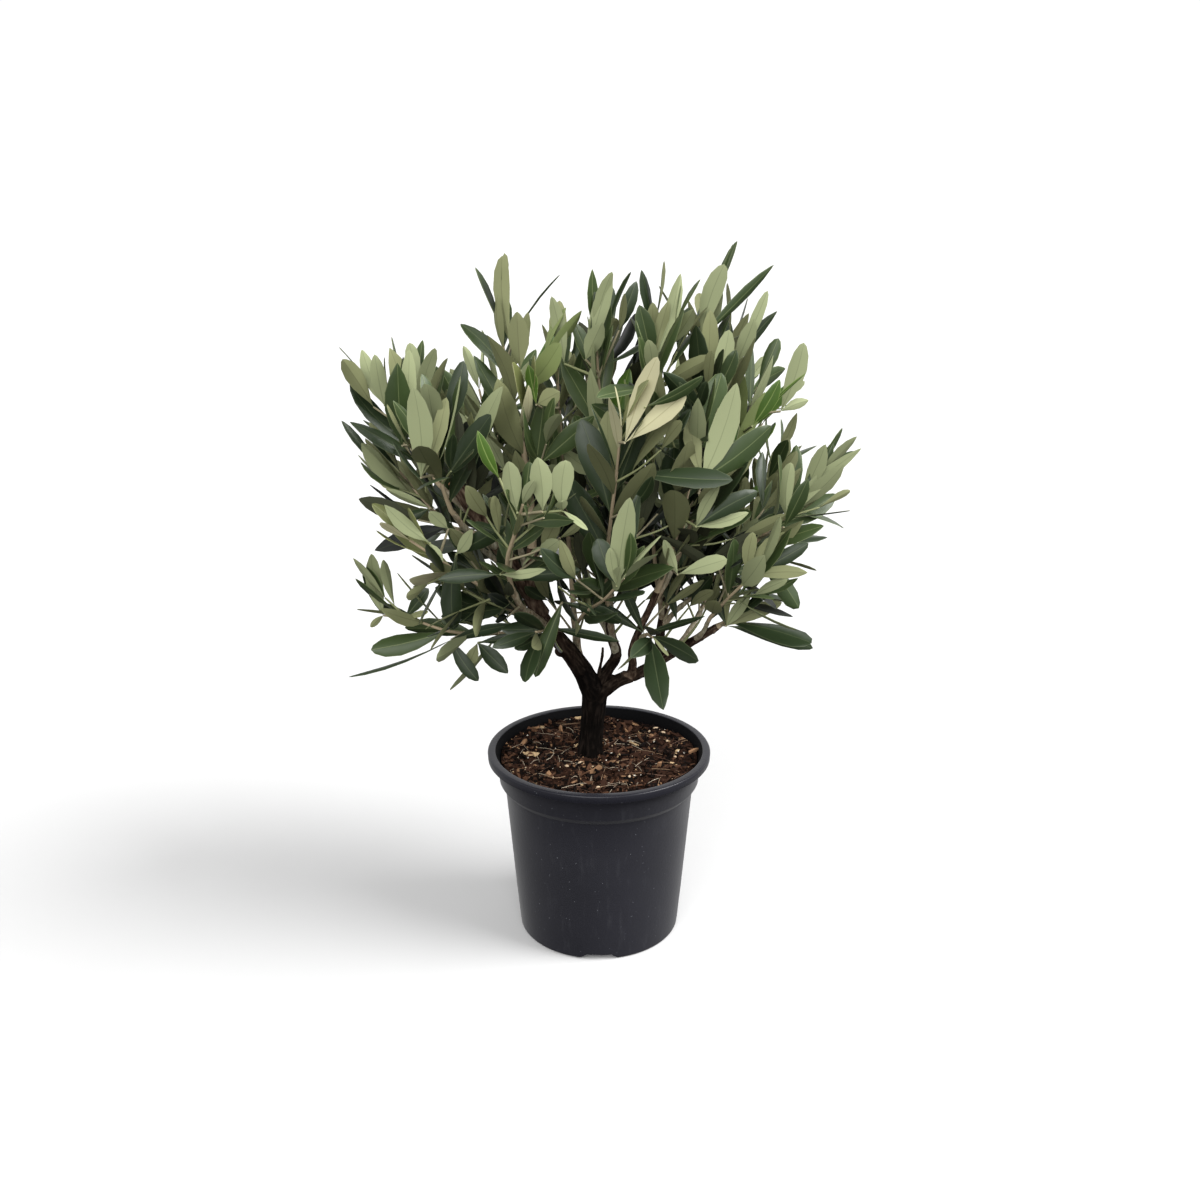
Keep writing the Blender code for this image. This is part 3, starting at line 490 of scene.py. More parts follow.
# Compost: a bed of lumps under loose bark, fibres and grains, in mm
compost = {
    "top": 124.2, "crown": 1.1, "edge": 66.2, "rings": 34, "steps": 132, "bedFrom": 120,
    "ball": ((65.9, 112), (62, 104), (54, 8), (0, 8)),  # radius and height under the bed
    "hollow": 3.5, "hollowAt": (24, 44), "hollowSpread": 420,
    "lumps": 1.3, "lumpSizes": (9, 4), "crumbs": 0.45, "crumbSize": 1.7,
    "seed": 11, "inset": 1.2, "chips": 2400, "chipLeast": (1.1, 0.7, 0.4), "chipMore": (7, 2.4, 0.9),
    "goldAt": (-47, -4), "goldPlaces": ((-2.25, 1.5), (0.75, -0.9), (3, 2.1), (4.95, -0.3), (0.3, 3.6)),
    "goldSize": (4.2, 2.2, 1),
    "bigChips": (("tan", -3, -30, 9), ("umber", -9, -14, 7)),  # tint, place, length
    "fibres": 150, "fibreLength": (5, 20), "fibreThick": (0.12, 0.24), "fibreBend": 0.22, "fibreInset": 4,
    "grains": 60, "grainSize": (0.3, 0.75), "seeds": 12, "seedSize": ((1.2, 2.2), (0.8, 1.2), 0.7),
}


def bedHeight(x, y):  # mm
    away = math.hypot(x, y) / compost["edge"]
    swell = compost["crown"] * (1 - away ** 2)
    hollowX, hollowY = compost["hollowAt"]
    off = (x - hollowX) ** 2 + (y - hollowY) ** 2
    swell -= compost["hollow"] * math.exp(-off / compost["hollowSpread"])
    broad, small = compost["lumpSizes"]
    lumps = noise.noise(Vector((x, y, 3)) / broad) + 0.6 * noise.noise(Vector((x, y, 8)) / small)
    return compost["top"] + swell + compost["lumps"] * lumps * 0.75


def overBed(x, y, lift):
    return Vector((x, y, bedHeight(x, y) + lift))


def makeBed():
    soil = Look("compostBed", Roughness=0.95, Specular_IOR_Level=0.04)
    where = soil.place()
    coarse = soil.grain(where, 160, 5, 0.65)
    fine = soil.grain(where, 900, 3)
    soil.drive("Base Color", soil.ramp(coarse * 0.6 + fine * 0.4, (
        (0.34, (0.002, 0.001, 0.0008)), (0.46, (0.012, 0.006, 0.004)),
        (0.56, (0.034, 0.0155, 0.0098)), (0.68, (0.082, 0.042, 0.027)))))
    soil.bump(coarse + 0.5 * fine, 0.0012, 0.9)
    profile = [(0, compost["top"])]
    for k in range(1, compost["rings"]):
        profile.append((compost["edge"] * k / compost["rings"], compost["top"]))
    profile += [(compost["edge"], compost["top"]), *compost["ball"]]
    bm = spun(profile, compost["steps"])
    for vert in bm.verts:
        if vert.co.z > compost["bedFrom"] * mm:
            x, y = vert.co.xy / mm
            crumbs = compost["crumbs"] * noise.noise(Vector((x, y, 20)) / compost["crumbSize"])
            vert.co.z = (bedHeight(x, y) + crumbs) * mm
    bed = makePiece("compost_bed", bm, [soil], "compost", 80)
    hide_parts("soil")


def onBed(draw, inset):  # a place on the bed, so far inside its edge
    away = (compost["edge"] - inset) * math.sqrt(draw.random())
    angle = draw.uniform(0, math.tau)
    return away * math.cos(angle), away * math.sin(angle)


def addChip(joined, draw, place, size, lean=0.5):  # a broken flake of bark
    bm = bmesh.new()
    bmesh.ops.create_cube(bm, size=1)
    long = [edge for edge in bm.edges if abs((edge.verts[0].co - edge.verts[1].co).x) > 0.5]
    bmesh.ops.subdivide_edges(bm, edges=long, cuts=1)
    for vert in bm.verts:  # ends narrower, corners off by shares of its size
        vert.co.y *= 1 - 0.5 * abs(vert.co.x) * draw.uniform(0, 1.6)
        vert.co += Vector([draw.uniform(-off, off) for off in (0.14, 0.16, 0.22)])
    turn = Matrix.Rotation(draw.uniform(0, math.tau), 4, "Z")
    turn = turn @ Matrix.Rotation(draw.gauss(0, lean), 4, "Y") @ Matrix.Rotation(draw.gauss(0, lean), 4, "X")
    matrix = Matrix.Translation(place * mm) @ turn @ Matrix.Diagonal((*(Vector(size) * mm), 1))
    bmesh.ops.transform(bm, matrix=matrix, verts=bm.verts)
    addBody(joined, bm)


chipTints = (  # share of the chips, base colour
    (0.42, "dark", (0.004, 0.0021, 0.0014)),
    (0.35, "umber", (0.03, 0.0138, 0.0082)),
    (0.16, "russet", (0.08, 0.039, 0.022)),
    (0.05, "tan", (0.23, 0.13, 0.07)),
    (0.02, "gold", (0.45, 0.32, 0.18)),
)
fibreTints = (
    ("fibreTan", (0.22, 0.14, 0.08), 0.8), ("fibreBrown", (0.1, 0.05, 0.03), 0.85),
    ("fibrePale", (0.36, 0.3, 0.22), 0.8),
)
grainTints = (("grainPale", (0.6, 0.56, 0.48), 0.7), ("grainTan", (0.46, 0.34, 0.22), 0.7))


def barkLook(name, colour):  # plain base colour, streaked roughness
    look = Look(name, Base_Color=(*colour, 1), Specular_IOR_Level=0.08)
    look.drive("Roughness", 0.7 + 0.3 * look.grain(look.place(), 500, 3))
    return look


def makeChips(draw):
    bins = {name: bmesh.new() for _, name, _ in chipTints}
    for _ in range(compost["chips"]):
        pick = draw.random()
        for share, name, _ in chipTints:
            pick -= share
            if pick < 0:
                break
        x, y = onBed(draw, compost["inset"])
        big = draw.random() ** 3
        size = [least + more * big for least, more in zip(compost["chipLeast"], compost["chipMore"])]
        addChip(bins[name], draw, overBed(x, y, draw.uniform(-0.3, 0.8)), size)
    x, y = compost["goldAt"]
    for dx, dy in compost["goldPlaces"]:  # broken bits of one pale flake
        place = overBed(x, y, 1.3) + Vector((dx, dy, 0))
        addChip(bins["gold"], draw, place, compost["goldSize"], 0.3)
    for name, x, y, length in compost["bigChips"]:
        addChip(bins[name], draw, overBed(x, y, 1.5), (length, 0.4 * length, 1.6), 0.3)
    for _, name, colour in chipTints:
        look = barkLook("chips" + name.title(), colour)
        makePiece("bark_chips_" + name, bins[name], [look], "compost", 25)


def makeFibres(draw):
    fibres = bmesh.new()
    for k in range(compost["fibres"]):
        x, y = onBed(draw, compost["fibreInset"])
        bold = 1.5 if k % 8 == 0 else 1  # some are thick, long and curly
        length = draw.uniform(*compost["fibreLength"]) * bold
        angle = draw.uniform(0, math.tau)
        bend = draw.gauss(0, compost["fibreBend"]) * bold ** 4
        path = []
        for step in range(7):
            turn = angle + bend * step / 6
            path.append(overBed(x, y, 0.5 + 0.9 * math.sin(math.pi * step / 6)) * mm)
            x += math.cos(turn) * length / 6
            y += math.sin(turn) * length / 6
            reach = math.hypot(x, y) / (compost["edge"] - 1.5)
            if reach > 1:  # kept off the pot's wall
                x, y = x / reach, y / reach
        thick = draw.uniform(*compost["fibreThick"]) * bold * mm
        addBody(fibres, loft(path, [thick * (1 - 0.5 * step / 6) for step in range(7)], 4), k % 3)
    makePiece("compost_fibres", fibres, plainLooks(fibreTints), "compost", 80)


def makeGrains(draw):
    grains = bmesh.new()
    for k in range(compost["grains"]):
        x, y = onBed(draw, compost["inset"])
        bm = bmesh.new()
        bmesh.ops.create_icosphere(bm, subdivisions=1, radius=1)
        for vert in bm.verts:
            vert.co *= draw.uniform(0.75, 1.2)
        size = draw.uniform(*compost["grainSize"]) * mm
        matrix = Matrix.Translation(overBed(x, y, 0.7) * mm) @ Matrix.Scale(size, 4)
        bmesh.ops.transform(bm, matrix=matrix, verts=bm.verts)
        addBody(grains, bm, k % 2)
    lengths, widths, height = compost["seedSize"]
    for _ in range(compost["seeds"]):  # pale seeds and bits of shell
        x, y = onBed(draw, compost["inset"])
        bm = bmesh.new()
        bmesh.ops.create_icosphere(bm, subdivisions=2, radius=1)
        turn = Matrix.Rotation(draw.uniform(0, math.tau), 4, "Z")
        size = Vector((draw.uniform(*lengths), draw.uniform(*widths), height)) * mm
        matrix = Matrix.Translation(overBed(x, y, 0.9) * mm) @ turn @ Matrix.Diagonal((*size, 1))
        bmesh.ops.transform(bm, matrix=matrix, verts=bm.verts)
        addBody(grains, bm, 1)
    makePiece("compost_grains", grains, plainLooks(grainTints), "compost")


makeBed()
litterDraw = random.Random(compost["seed"])
makeChips(litterDraw)
makeFibres(litterDraw)
makeGrains(litterDraw)
print("compost: bed,", compost["chips"], "chips,", compost["fibres"], "fibres,", compost["grains"], "grains")

# Limbs: the same rows as the model, in mm
Bough = namedtuple("Bough", "name parent along via tip lift thick thin seed")
Mass = namedtuple("Mass", "name bough tip lift leaf turn rise twigs seed")

boughRows = (
    Bough("limb_left", "trunk", 0.84, ((-20, -8, 202), (-36, -14, 226), (-43, -20, 256)),
          (-42, -19, 274), 0.4, 6.6, 3.2, 1),
    Bough("limb_centre", "trunk", 0.9, ((6, 5, 184), (11, 10, 193), (9, 12, 204)),
          (4, 20, 230), 0.2, 3.9, 2.5, 2),
    Bough("limb_right", "trunk", 0.82, ((13, 0, 178), (28, 0, 184), (45, 0, 196), (63, -2, 207)),
          (77, -4, 217), 0.3, 4.5, 2.3, 3),
    Bough("limb_cut", "limb_left", 0.6, (), (-89, -25, 318), 0, 4.9, 4.1, 5),
    Bough("limb_front", "limb_right", 0.3, ((21, -12, 203), (27, -21, 223)),
          (36, -33, 250), 0.3, 2.7, 2.1, 6),
    Bough("limb_upright", "limb_right", 0.48, ((41, 4, 213),),
          (45, 8, 238), 0.3, 3.1, 2.2, 7),
    Bough("bough_left_front", "limb_cut", 0.5, (), (-87, -47, 303), 0.9, 2.4, 1.7, 8),
    Bough("bough_left_high", "limb_cut", 0.72, (), (-98, -13, 312), 0.5, 2.2, 1.6, 9),
    Bough("bough_left_low", "limb_cut", 0.3, (), (-74, -8, 270), 0.4, 2.2, 1.5, 10),
    Bough("bough_left_under", "limb_left", 0.43, (), (-68, -40, 252), 0.2, 1.9, 1.4, 30),
    Bough("bough_low_left", "limb_left", 0.36, (), (-56, -30, 221), 0, 1.9, 1.5, 11),
    Bough("bough_front_left", "limb_left", 0.46, (), (-52, -56, 258), 0.7, 2.5, 1.9, 12),
    Bough("bough_mid_left", "limb_left", 0.17, (), (-17, 7, 230), 0.3, 2.7, 1.9, 13),
    Bough("bough_rear_left_low", "limb_left", 0.42, (), (-64, 28, 257), 0.4, 2.4, 1.6, 14),
    Bough("bough_rear_left_high", "limb_left", 0.68, (), (-54, 12, 276), 0.6, 2.2, 1.7, 15),
    Bough("bough_centre_high", "limb_centre", 0.62, (), (8, 4, 232), 0.6, 2, 1.6, 16),
    Bough("bough_rear_low", "limb_centre", 0.5, (), (-8, 42, 226), 0.3, 2.1, 1.7, 17),
    Bough("bough_rear_high", "limb_centre", 0.8, (), (-2, 38, 252), 0.6, 1.9, 1.6, 18),
    Bough("bough_front_centre", "bough_mid_left", 0.4, (), (-14, -28, 226), 0.2, 1.9, 1.4, 19),
    Bough("bough_front_mid", "limb_centre", 0.42, (), (6, -22, 232), 0.6, 2.1, 1.6, 20),
    Bough("bough_lower_front", "bough_front_centre", 0.55, (), (-26, -30, 224), -0.2, 1.3, 1.1, 21),
    Bough("bough_lower_right", "limb_front", 0.3, (), (29, -36, 222), 0.1, 1.3, 1.1, 22),
    Bough("bough_top_right", "limb_front", 0.8, (), (48, -32, 270), 0.8, 1.8, 1.5, 23),
    Bough("bough_right_high", "limb_upright", 0.74, (), (60, 2, 262), 0.5, 1.8, 1.5, 24),
    Bough("bough_far_right", "limb_upright", 0.5, (), (68, -8, 246), 0.2, 1.8, 1.4, 25),
    Bough("bough_right_mid", "limb_right", 0.82, (), (70, -18, 226), 0.6, 1.7, 1.3, 26),
    Bough("bough_rear_right_low", "limb_right", 0.62, (), (72, 26, 226), 0.4, 2, 1.5, 27),
    Bough("bough_rear_right", "limb_upright", 0.32, (), (43, 30, 228), 0.3, 2, 1.6, 28),
    Bough("bough_right_centre", "limb_upright", 0.6, (), (38, -5, 244), 0.7, 1.8, 1.5, 29),
)

limbNames = [row.name for row in boughRows if row.name.startswith("limb")]
boughNames = [row.name for row in boughRows if row.name.startswith("bough")]

limb = {
    "foot": (-6.4, 0, 125.3), "bend": (-4.4, 0, 150), "top": (-2, 0, 176), "trunkStep": 4.64, "sunk": 4,
    "radius": 7.3, "topRadius": 8.7, "flare": 1.1, "flareHeight": 7, "lobes": 5,
    "spurFoot": (-1.5, -1, 168), "spurTip": (2.5, -2, 202), "spurRadius": 1.3,
    "step": 16, "collar": 0.18, "wander": 0.7, "leave": 1.6, "voxel": 0.55, "trunkSides": 32, "sides": 22,
    "knobSeed": 3, "knobSize": (0.5, 0.72), "stubShare": 0.3, "stubLength": (2.5, 6), "stub": (0.9, 0.7),
    "knobs": (("limb_right", 9), ("limb_left", 7), ("limb_cut", 4), ("limb_upright", 4),
              ("limb_front", 4), ("limb_centre", 3)),
    "furrow": (2.4, 11), "lump": 9, "fine": 2.3,  # bark: mm across and along, mm, and times finer
    "deep": 0.55, "shallow": 0.3, "swell": 0.25, "full": 5,  # its depth, less with age or a small radius
    "age": {  # 0 old and dark to 1 young and pale, at its foot and the gain to its tip
        "trunk": (0, 0), "limb_left": (-0.25, 1.4), "limb_cut": (0.8, 0.2), "limb_front": (0.5, 0.5),
    },
}


def trunkPath():
    foot, bend, top = (Vector(limb[name]) * mm for name in ("foot", "bend", "top"))
    return smoothPath([foot, bend, top], (bend - foot).normalized(), 0, limb["trunkStep"] * mm)


def trunkRadius(height):
    share = height / ((limb["top"][2] - limb["foot"][2]) * mm)
    swell = (limb["topRadius"] - limb["radius"]) * share ** 3
    flare = limb["flare"] * 0.5 * math.exp(-height / (limb["flareHeight"] * mm))
    return (limb["radius"] + swell + flare) * mm


def growBoughs():
    grown = {"trunk": (trunkPath(), [])}
    for row in boughRows:
        start, heading = pointAt(grown[row.parent][0], row.along)
        points = [start] + [Vector(point) * mm for point in row.via + (row.tip,)]
        leave = (heading + limb["leave"] * (points[1] - start).normalized()).normalized()
        path = smoothPath(points, leave, row.lift, limb["step"] * mm)
        draw = random.Random(row.seed)
        for point in path[2:-1]:
            point += Vector([draw.uniform(-limb["wander"], limb["wander"]) for _ in range(3)]) * mm
        lengths = lengthsAlong(path)
        radii = []
        for length in lengths:
            share = length / lengths[-1]
            collar = 1 + limb["collar"] * math.exp(-length / (2 * row.thick * mm))
            radii.append((row.thick + (row.thin - row.thick) * share) * collar * mm)
        grown[row.name] = (path, radii)
    return grown


def finerLimb(path, radii, step):  # more points on the same curve, with the radius at each
    fine = finerPath(path, step)
    shares = [length / lengthsAlong(fine)[-1] for length in lengthsAlong(fine)]
    coarse = [length / lengthsAlong(path)[-1] for length in lengthsAlong(path)]
    sizes = []
    for share in shares:
        k = max(1, next((k for k, at in enumerate(coarse) if at >= share - 1e-6), len(coarse) - 1))
        part = (share - coarse[k - 1]) / (coarse[k] - coarse[k - 1])
        sizes.append(radii[k - 1] + (radii[k] - radii[k - 1]) * min(1, max(0, part)))
    return fine, sizes


grown = growBoughs()
trunkRadii = [trunkRadius(point.z - grown["trunk"][0][0].z) for point in grown["trunk"][0]]


def barkMaterial():
    bark = Look("oldBark", Specular_IOR_Level=0.05)
    where = bark.place()
    long = bark.grain(bark.place((1, 1, 0.22)), 420, 5, 0.62)
    broad = bark.grain(where, 70, 4)
    relief = bark.node("Attribute", {"attribute_name": "relief"}, {}, 2)
    young = bark.node("Attribute", {"attribute_name": "young"}, {}, 2)
    dark = bark.ramp(relief * 0.7 + long * 0.3, (
        (0.2, (0.0004, 0.0003, 0.0002)), (0.45, (0.0012, 0.0008, 0.0006)),
        (0.62, (0.003, 0.002, 0.0015)), (0.8, (0.014, 0.01, 0.008))))
    fibrous = bark.ramp(relief * 0.55 + long * 0.45, (
        (0.22, (0.005, 0.003, 0.002)), (0.42, (0.028, 0.015, 0.01)),
        (0.58, (0.1, 0.062, 0.043)), (0.76, (0.3, 0.225, 0.16))))
    patches = bark.band(broad, 0.35, 0.65)
    bark.drive("Base Color", bark.mix(young * (0.55 + 0.45 * patches), dark, fibrous))
    bark.drive("Roughness", 0.72 + 0.22 * long)
    bark.bump(long, 0.0009, 0.8)
    return bark


def joinedLimbs():
    bm = bmesh.new()
    path, radii = finerLimb(grown["trunk"][0], trunkRadii, 2 * mm)
    path[0].z -= limb["sunk"] * mm
    trunk = loft(path, radii, limb["trunkSides"])
    for vert in trunk.verts:
        height = vert.co.z / mm - limb["foot"][2]
        out = Vector((vert.co.x - limb["foot"][0] * mm, vert.co.y, 0)).normalized()
        lobe = 0.5 + 0.5 * math.cos(limb["lobes"] * math.atan2(out.y, out.x) + 0.6)
        vert.co += out * limb["flare"] * mm * lobe * math.exp(-max(0, height) / limb["flareHeight"])
    addBody(bm, trunk)
    spur = [Vector(limb["spurFoot"]).lerp(Vector(limb["spurTip"]), k / 6) * mm for k in range(7)]
    for k, point in enumerate(spur[1:-1]):
        point.x += 0.5 * mm * math.sin(k * 2.1)
    addBody(bm, loft(spur, [limb["spurRadius"] * mm * (1 - 0.08 * k) for k in range(7)], 12))
    for name in limbNames:
        path, radii = finerLimb(*grown[name], 3 * mm)
        addBody(bm, loft(path, radii, limb["sides"]))
    draw = random.Random(limb["knobSeed"])
    for name, count in limb["knobs"]:
        path, radii = grown[name]
        for k in range(count):
            share = (k + draw.uniform(0.2, 0.8)) / count
            point, heading = pointAt(path, share)
            radius = radii[0] + (radii[-1] - radii[0]) * share
            side = heading.orthogonal().normalized()
            side = Matrix.Rotation(draw.uniform(0, math.tau), 3, heading) @ side
            knob = bmesh.new()
            bmesh.ops.create_icosphere(knob, subdivisions=2, radius=radius * draw.uniform(*limb["knobSize"]),
                                       matrix=Matrix.Translation(point + side * radius * 0.72))
            addBody(bm, knob)
            if draw.random() < limb["stubShare"]:  # a short dry stub
                foot = point + side * radius * 0.7
                along = (side + heading * 0.4).normalized()
                tip = foot + along * draw.uniform(*limb["stubLength"]) * mm
                addBody(bm, loft([foot, tip], [size * mm for size in limb["stub"]], 8))
    return bm


def makeLimbs():
    wood = makePiece("trunk_and_limbs", joinedLimbs(), [barkMaterial()], "old_bark", 0)
    mesher = wood.modifiers.new("join", "REMESH")
    mesher.mode = "VOXEL"
    mesher.voxel_size = limb["voxel"] * mm
    applyModifiers(wood)
    axis = []
    for name in ["trunk"] + limbNames:
        path, radii = grown[name]
        sizes = radii or trunkRadii
        total = lengthsAlong(path)[-1]
        for k in range(round(total / (2 * mm)) + 1):
            share = min(1, k * 2 * mm / total)
            point, heading = pointAt(path, share)
            radius = sizes[0] + (sizes[-1] - sizes[0]) * share
            base, gain = limb["age"].get(name, (0.02, 0.45))
            age = min(1, max(0, base + gain * share))
            axis.append((point, heading, radius, share * total, age))
    tree = indexPoints([item[0] for item in axis])
    bm = bmesh.new()
    bm.from_mesh(wood.data)
    for _ in range(2):
        bmesh.ops.smooth_vert(bm, verts=bm.verts, factor=0.5,
                              use_axis_x=True, use_axis_y=True, use_axis_z=True)
    relief = bm.verts.layers.float.new("relief")
    young = bm.verts.layers.float.new("young")
    bm.normal_update()
    moves = []
    around, lengthwise = limb["furrow"]
    for vert in bm.verts:
        point, heading, radius, along, age = axis[tree.find(vert.co)[1]]
        off = vert.co - point
        along += off.dot(heading)
        across = off - heading * off.dot(heading)
        girth = across.normalized() * radius
        long = girth / (around * mm) + heading * (along / (lengthwise * mm))
        furrow = noise.noise(long)
        fine = noise.noise(long * limb["fine"] + Vector((7, 3, 1)))
        lump = noise.noise(vert.co / (limb["lump"] * mm))
        height = 0.55 * (1 - abs(furrow) * 2.2) + 0.3 * fine + 0.25 * lump
        vert[relief] = min(1, max(0, 0.5 + 0.5 * height))
        vert[young] = age
        depth = (limb["deep"] - limb["shallow"] * age) * min(1, radius / (limb["full"] * mm))
        moves.append(vert.normal * (height * depth + limb["swell"] * (1 - age)) * mm)
    for vert, move in zip(bm.verts, moves):
        vert.co += move
    bm.to_mesh(wood.data)
    bm.free()
    wood.data.shade_smooth()
    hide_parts("trunk", *limbNodes)
    print("trunk and limbs:", len(wood.data.polygons), "faces of bark")


def makePruningCut():  # the sawn end of the left limb
    cutWood = Look("cutWood", Roughness=0.75)
    rings = cutWood.grain(cutWood.place(), 900, 3)
    cutWood.drive("Base Color", cutWood.ramp(rings, (
        (0.3, (0.24, 0.09, 0.035)), (0.55, (0.5, 0.24, 0.1)), (0.75, (0.62, 0.36, 0.18)))))
    path, radii = grown["limb_cut"]
    heading = (path[-1] - path[-2]).normalized()
    rows = ((-1.5, 0.9), (0.25, 0.88), (0.5, 0.78))  # mm past the end, share of its radius
    ends = [path[-1] + heading * past * mm for past, _ in rows]
    disc = loft(ends, [radii[-1] * share for _, share in rows], 28)
    makePiece("pruning_cut", disc, [cutWood], "old_bark", 40)


makeLimbs()
makePruningCut()


def makeBoughs():
    bark = Look("youngBark")
    where = bark.place()
    streaks = bark.grain(bark.place((1, 1, 0.3)), 500, 4, 0.6)
    spots = bark.band(bark.grain(where, 700, 2), 0.62, 0.7)
    patches = bark.band(bark.grain(where, 45, 3), 0.38, 0.62)
    tan = bark.ramp(streaks, (
        (0.3, (0.12, 0.085, 0.05)), (0.5, (0.26, 0.19, 0.12)), (0.7, (0.44, 0.36, 0.25))))
    grey = bark.ramp(streaks, (
        (0.3, (0.12, 0.11, 0.07)), (0.5, (0.26, 0.24, 0.16)), (0.7, (0.42, 0.39, 0.29))))
    bark.drive("Base Color", bark.mix(spots * 0.5, bark.mix(patches, tan, grey), (0.42, 0.36, 0.26, 1)))
    bark.drive("Roughness", 0.68 + 0.2 * streaks)
    bark.bump(streaks + 0.6 * spots, 0.0004, 0.7)
    joined = bmesh.new()
    for name in boughNames:
        path, radii = finerLimb(*grown[name], 2.2 * mm)
        total = lengthsAlong(path)
        for k in range(2, len(radii) - 1):  # swollen nodes, about a leaf pair apart
            at = (total[k] / mm % 14) - 7
            node = 0.2 * math.exp(-(at / 1.8) ** 2)
            radii[k] *= 1 + node + 0.05 * noise.noise(path[k] / (4 * mm))
        addBody(joined, loft(path, radii, 12))
    boughs = makePiece("boughs", joined, [bark], "young_bark", 75)
    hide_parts(*boughNodes)


makeBoughs()
print("boughs:", len(boughNodes))

# Foliage: the model's rule and draws, then finer twigs
massRows = (
    Mass("upper_left", "limb_left", (-60, -10, 412), 0.1, 54, 10, 0.25, 2, 31),
    Mass("top_middle", "limb_centre", (6, 34, 396), 0.1, 50, 60, 0.25, 3, 32),
    Mass("right_low", "limb_right", (88, -12, 227), 0, 54, 70, 0.2, 0, 33),
    Mass("front_right", "limb_front", (58, -72, 356), 0.2, 60, 30, 0.3, 2, 34),
    Mass("rear_right_high", "limb_upright", (86, 54, 392), 0.2, 50, 80, 0.25, 3, 35),
    Mass("left_front", "bough_left_front", (-94, -63, 350), 0.1, 58, 40, 0.3, 2, 36),
    Mass("left_high", "bough_left_high", (-118, -14, 370), 0.4, 50, 15, 0.5, 3, 64),
    Mass("left_low", "bough_left_low", (-128, 14, 316), 0.5, 50, 70, 0.4, 2, 38),
    Mass("left_under", "bough_left_under", (-112, -60, 290), 0.2, 48, 62, 0.05, 1, 58),
    Mass("low_left", "bough_low_left", (-122, -45, 239), 0.9, 45, 85, 0.1, 1, 39),
    Mass("front_left", "bough_front_left", (-42, -104, 322), 0, 32, 25, 0.3, 2, 40),
    Mass("mid_left_high", "bough_mid_left", (-27, 22, 386), 0.1, 50, 35, 0.25, 3, 41),
    Mass("rear_left_low", "bough_rear_left_low", (-102, 84, 296), 0.5, 52, 50, 0.2, 3, 42),
    Mass("rear_left_high", "bough_rear_left_high", (-80, 62, 362), 0.1, 52, 20, 0.25, 3, 43),
    Mass("centre_high", "bough_centre_high", (-2, -14, 406), 0.1, 52, 65, 0.25, 3, 44),
    Mass("rear_low", "bough_rear_low", (-34, 114, 264), 0.5, 52, 75, 0.12, 3, 45),
    Mass("rear_high", "bough_rear_high", (-26, 98, 376), 0.1, 52, 5, 0.25, 3, 46),
    Mass("front_centre", "bough_front_centre", (14, -98, 278), 0.3, 48, 45, 0.3, 2, 47),
    Mass("front_mid", "bough_front_mid", (12, -92, 362), 0.1, 54, 55, 0.3, 3, 48),
    Mass("lower_front", "bough_lower_front", (-38, -64, 234), -0.3, 48, 15, -0.15, 0, 49),
    Mass("lower_right", "bough_lower_right", (32, -68, 232), -0.1, 48, 0, -0.15, 0, 50),
    Mass("top_right", "bough_top_right", (66, -17, 420), 0.2, 54, 12, 0.25, 3, 51),
    Mass("right_high", "bough_right_high", (98, 0, 372), 0.2, 54, 48, 0.25, 3, 52),
    Mass("far_right", "bough_far_right", (134, -26, 322), 0.3, 54, 66, 0.3, 2, 53),
    Mass("right_mid", "bough_right_mid", (96, -54, 270), 0.2, 50, 28, 0.2, 2, 54),
    Mass("rear_right_low", "bough_rear_right_low", (116, 74, 290), 0.4, 52, 33, 0.25, 2, 55),
    Mass("rear_right", "bough_rear_right", (50, 112, 290), 0.5, 52, 58, 0.15, 3, 56),
    Mass("right_centre", "bough_right_centre", (32, -34, 410), 0.1, 54, 18, 0.25, 4, 57),
)

leafRule = {  # the model's, in mm and degrees
    "internode": 15.8, "bareFoot": 8, "tests": (0.2, 0.36, 0.52, 0.68, 0.84, 1), "testWidth": 0.45,
    "tries": ((1, 1), (0.88, 0.72), (0.76, 0.5)),  # share of the length, share of the spread
    "spreadLow": 78, "spreadTop": 17, "spreadVary": 9, "curl": (-30, 22), "roll": 48, "droopLow": 0.3,
    "lengthVary": (0.84, 1.16), "slimness": (0.22, 0.31),
    "margin": 3, "gap": 4, "limbMargin": 2.6, "limbReach": 14, "spire": 40, "neck": 3, "clear": 0.3,
    "stemStep": 30, "stemTip": 0.55, "stemSides": 8, "twigStep": 22, "twigRadius": 0.85, "twigSides": 6,
    "twigSpread": 48, "twigVary": 10, "twigLength": (26, 46), "twigFoot": 12, "twigLift": 0.25,
    "firstTwig": 0.16, "twigSpan": 0.62, "twigTurn": 2.4, "twigSwing": 0.4,  # shares of the stem, radians
}
finer = {  # what the scene adds, in mm and shares
    "twigs": 4, "inner": 3, "leaf": 0.86, "gap": 2.6, "limbMargin": 1.2, "cell": 5, "inset": 0.5,
    "low": 228, "heart": 55, "innerSeed": 41, "innerLeaf": 0.85, "forked": 0.5, "forkLeaf": 0.85,
    "sprigStart": 3, "sprigReach": 1.5, "sprigTwig": (1.1, 0.7), "shootSeed": 700, "shootFoot": 1.1,
    "firstTwig": 0.05, "twigSpan": 0.8, "firstInner": 0.5, "innerSpan": 0.4,
    "bare": (  # boughs without inner twigs
        "bough_lower_front", "bough_lower_right", "bough_low_left", "bough_front_centre",
        "bough_right_mid",
    ),
    "sparse": {  # twigs on the masses that have fewer or none
        "front_right": 3, "upper_left": 2, "far_right": 2, "left_low": 2, "front_centre": 2,
        "left_high": 1, "left_front": 1, "right_high": 1, "left_under": 1, "low_left": 0,
        "right_low": 0, "lower_front": 0, "lower_right": 0, "right_mid": 0,
    },
}


Shoot = namedtuple("Shoot", "start along tip lift leaf turn rise tint")

